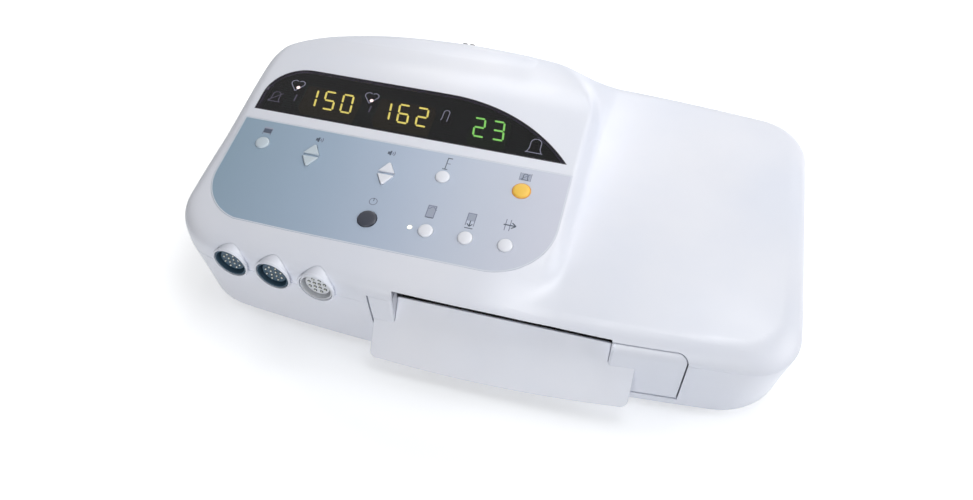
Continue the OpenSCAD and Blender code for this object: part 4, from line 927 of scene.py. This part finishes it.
plate = bmesh.new()
face_loop = chain(plate, (-65, 14, 0), (152, 14), (152, 56.5), (145, 56.5, math.pi / 2, 8),
                  (slot_right, 63.5), (slot_right, 33.5), (slot_left, 33.5), (slot_left, 63.5),
                  (-68, 63.5), (-65, 14))
prism(plate, face_loop, 3)
cheek_edges = [e for e in plate.edges if all(
    v.co.z > 2.9 and min(abs(v.co.x - slot_right), abs(v.co.x - slot_left)) < 0.1 for v in e.verts)]
bevel(plate, cheek_edges, 2.4, 6)
score(plate, 0, [-60 + 10 * i for i in range(21)])
score(plate, 1, [17 + 3 * i for i in range(16)])
for v in plate.verts:
    x, z, depth = v.co
    v.co = (x, skin(x, z) + 0.4 + 3 - depth, z)
for low, high in ((slot_left - 2, slot_left - 0.02), (slot_right + 0.02, slot_right + 2)):
    block(plate, (low, -124.6, 38), (high, -116, 63.4))
finish(solid("drawer_plate", plate), case_abs, "drawer", "case_white", "drawer_front", edge=0.45)


# Paper chute and lip: one T-shaped sloping plate below the slot. It carries the chart paper out
# over the drawer, and its bowed lower lip is the handle that pulls the drawer.
chute = bmesh.new()
lip_bow, lip_left, lip_right = 961, 66, 120
sweep = math.asin(lip_right / lip_bow) + math.asin(lip_left / lip_bow)
left_s = lip_bow - math.sqrt(lip_bow ** 2 - lip_left ** 2)
outline = chain(chute, (-lip_left, left_s, 0), (0, lip_bow, sweep, 40), (lip_right, 38),
                (slot_right - 0.2, 38), (slot_right - 0.2, 51.59), (slot_left + 0.2, 51.59),
                (slot_left + 0.2, 33), (-lip_left, 33), (-lip_left, left_s))
prism(chute, outline, 2.6)
corners = [e for e in chute.edges if abs(e.verts[0].co.z - e.verts[1].co.z) > 1
           and min(abs(e.verts[0].co.x + lip_left), abs(e.verts[0].co.x - lip_right)) < 0.2
           and e.verts[0].co.y < 9]
bevel(chute, corners, 5, 6)
slope = shift(0, -144.5, 12) @ Matrix.Rotation(math.atan2(43, 28.5), 4, "X") @ shift(0, 0, -2.6)
bmesh.ops.transform(chute, matrix=slope, verts=chute.verts)
finish(solid("chute_plate", chute), case_abs, "drawer", "case_white", "paper_chute", edge=0.7)


# Sockets: three round connectors in the left front, two blue and one white. A tapered collar of
# the case's plastic guards each, and pins stand in wells in the core inside its bore.
collars, wells, pins = bmesh.new(), bmesh.new(), bmesh.new()
for x in socket_xs:
    turned(collars, ((12.6, -11), (12.6, -0.5), (12.8, -0.1), (13.1, 0), (13.7, -0.2), (14.1, -0.8),
                     (14.1, -1.5), (13.5, -2.6), (13.15, -3.6), (13.0, -11), (12.6, -11)), at_socket(x), 72)
    for count, ring, offset in ((8, 6.4, 22.5), (4, 2.75, 45)):
        for i in range(count):
            angle = math.radians(offset + 360 * i / count)
            spot = at_socket(x) @ shift(ring * math.cos(angle), ring * math.sin(angle))
            turned(wells, ((0, -4.2), (0, -3.32), (0.9, -3.32), (1.3, -3.25), (1.3, -4.2), (0, -4.2)),
                   spot, 16)
            turned(pins, ((0, -2.4), (0.5, -2.5), (0.72, -2.8), (0.72, -4), (0, -4)), spot, 14)
finish(solid("collar_rings", collars), case_abs, "case", "case_white", "socket_collars", sharp=50)
shell_blue = moulded("shell_blue", (62, 90, 108), (54, 80, 100), 0.35, 0.5, grain=1600)
shell_white = moulded("shell_white", (226, 228, 232), (219, 222, 228), 0.35, 0.5, grain=1600)
for x, (name, colour, slot) in zip(socket_xs, (("ultrasound_socket_1", shell_blue, "socket_blue"),
                                               ("ultrasound_socket_2", shell_blue, "socket_blue"),
                                               ("contraction_socket", shell_white, "socket_white"))):
    shell = bmesh.new()
    turned(shell, ((0, -3.4), (8.9, -3.4), (9.3, -3.8), (9.3, -9.5), (11, -9.5), (11, -1.3), (11.4, -0.8),
                   (12, -0.8), (12.4, -1.2), (12.4, -20.8), (0, -20.8)), at_socket(x), 64)
    bmesh.ops.transform(shell, matrix=at_socket(x), verts=block(shell, (-1.1, 9, -9), (1.1, 11.4, -1.4)))
    finish(solid(name + "_shell", shell), colour, "case", slot, name, sharp=50)
well_dark = moulded("well_dark", (58, 66, 76), (48, 56, 66), 0.4, 0.6)
finish(solid("contact_wells", wells), well_dark, "case", "socket_blue")
contact_silver = metal("contact_silver", (196, 200, 196), (170, 168, 150), 0.2, 0.35)
finish(solid("contact_pins", pins), contact_silver, "case", "contact_brass", "socket_pins", sharp=50)


# What works inside: boards, the recorder and its paper, the supply and the loudspeaker, seen when
# the drawer is out or through the slots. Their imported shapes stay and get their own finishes.
def bricks(tree, vector, scale, joint, width, height, offset):
    """A mask of upright and level joints on given coordinates."""
    return add(tree, "TexBrick", {"Vector": vector, "Scale": scale, "Mortar Size": joint,
                                  "Brick Width": width, "Row Height": height}, offset=offset).outputs["Fac"]


board_print, place, given = new_group(
    "board_print", ("Colour", "Color", (0, 0.2, 0.1, 1)), ("Track Colour", "Color", (0, 0.3, 0.1, 1)))
tracks = bricks(board_print, place, 90, 0.06, 0.9, 0.22, 0.5)
give(board_print, blend_colours(board_print, tracks, given["Colour"], given["Track Colour"]),
     stretch(board_print, noise(board_print, 200, 2, place), 0.3, 0.7, 0.3, 0.5), tracks)
solder_mask = material_on("solder_mask", board_print, {"Colour": paint(22, 84, 56),
                                                       "Track Colour": paint(60, 122, 84)}, 0.3)
dress(solder_mask, "key_board", "display_board", "socket_board", "main_board", "power_board")

folded_paper, place, given = new_group(
    "folded_paper", ("Colour", "Color", (0.9, 0.9, 0.85, 1)), ("Line Colour", "Color", (0.7, 0.5, 0.4, 1)))
grid = bricks(folded_paper, place, 1, 0.00025, 0.01, 0.01, 0)
sheets = add(folded_paper, "VectorMath", {0: place, 1: (4, 4, 2400)}, operation="MULTIPLY").outputs[0]
edges = noise(folded_paper, 1, 2, sheets)
tone = blend_colours(folded_paper, stretch(folded_paper, edges, 0.35, 0.65, 0, 0.5), given["Colour"],
                     paint(214, 212, 204))
give(folded_paper, blend_colours(folded_paper, grid, tone, given["Line Colour"]),
     stretch(folded_paper, edges, 0, 1, 0.75, 0.9), edges)
chart_paper = material_on("chart_paper", folded_paper, {"Colour": paint(244, 242, 234),
                                                        "Line Colour": paint(226, 178, 160)}, 0.4)
dress(chart_paper, "paper_pack")

dress(moulded("mat_silicone", (120, 126, 134), (110, 116, 126), 0.5, 0.7, bump=0.2), "key_mat")
dress(moulded("tray_plastic", (196, 200, 208), (186, 191, 201), 0.4, 0.55, bump=0.2), "drawer_tray")
dress(moulded("roller_rubber", (36, 37, 40), (46, 46, 49), 0.6, 0.8, grain=900, bump=0.4), "platen_roller")
dress(moulded("gear_nylon", (226, 224, 214), (214, 212, 202), 0.35, 0.5), "roller_gear", "motor_pinion")
dress(moulded("head_ceramic", (206, 198, 178), (190, 182, 164), 0.3, 0.45, grain=600), "print_head")
dress(moulded("magnet_black", (52, 50, 50), (64, 60, 58), 0.5, 0.7, grain=500, bump=0.4), "catch_magnet")
dress(moulded("speaker_paper", (40, 40, 42), (52, 52, 54), 0.7, 0.9, grain=500, bump=0.5), "loudspeaker")
dress(moulded("panel_grey", (178, 182, 190), (168, 172, 182), 0.4, 0.55, bump=0.2), "rear_panel")
dress(moulded("inlet_black", (34, 35, 38), (44, 44, 48), 0.4, 0.55, bump=0.2), "power_inlet", "fuse_carrier",
      "data_ports", "cable_cleat")
dress(metal("rail_steel", (190, 192, 196), (160, 162, 168), 0.25, 0.4, (1, 0.05, 1)), "drawer_rails",
      "catch_plate", "recorder_frame", "preamp_shield")
dress(metal("shaft_steel", (204, 206, 210), (176, 178, 184), 0.15, 0.3, (0.05, 1, 1)), "roller_shaft",
      "equipotential_stud")
dress(metal("bush_bronze", (188, 146, 92), (150, 110, 66), 0.3, 0.45), "roller_bushes")
dress(metal("motor_steel", (150, 152, 156), (120, 120, 126), 0.3, 0.5, (0.1, 1, 1)), "stepper_motor")
dress(metal("bar_aluminium", (206, 208, 212), (184, 186, 192), 0.3, 0.5, (0.05, 1, 1)), "head_bar",
      "heat_sink")
dress(metal("core_iron", (112, 108, 106), (90, 80, 72), 0.4, 0.6, (0.02, 0.02, 1), 3000, 0.4), "transformer")
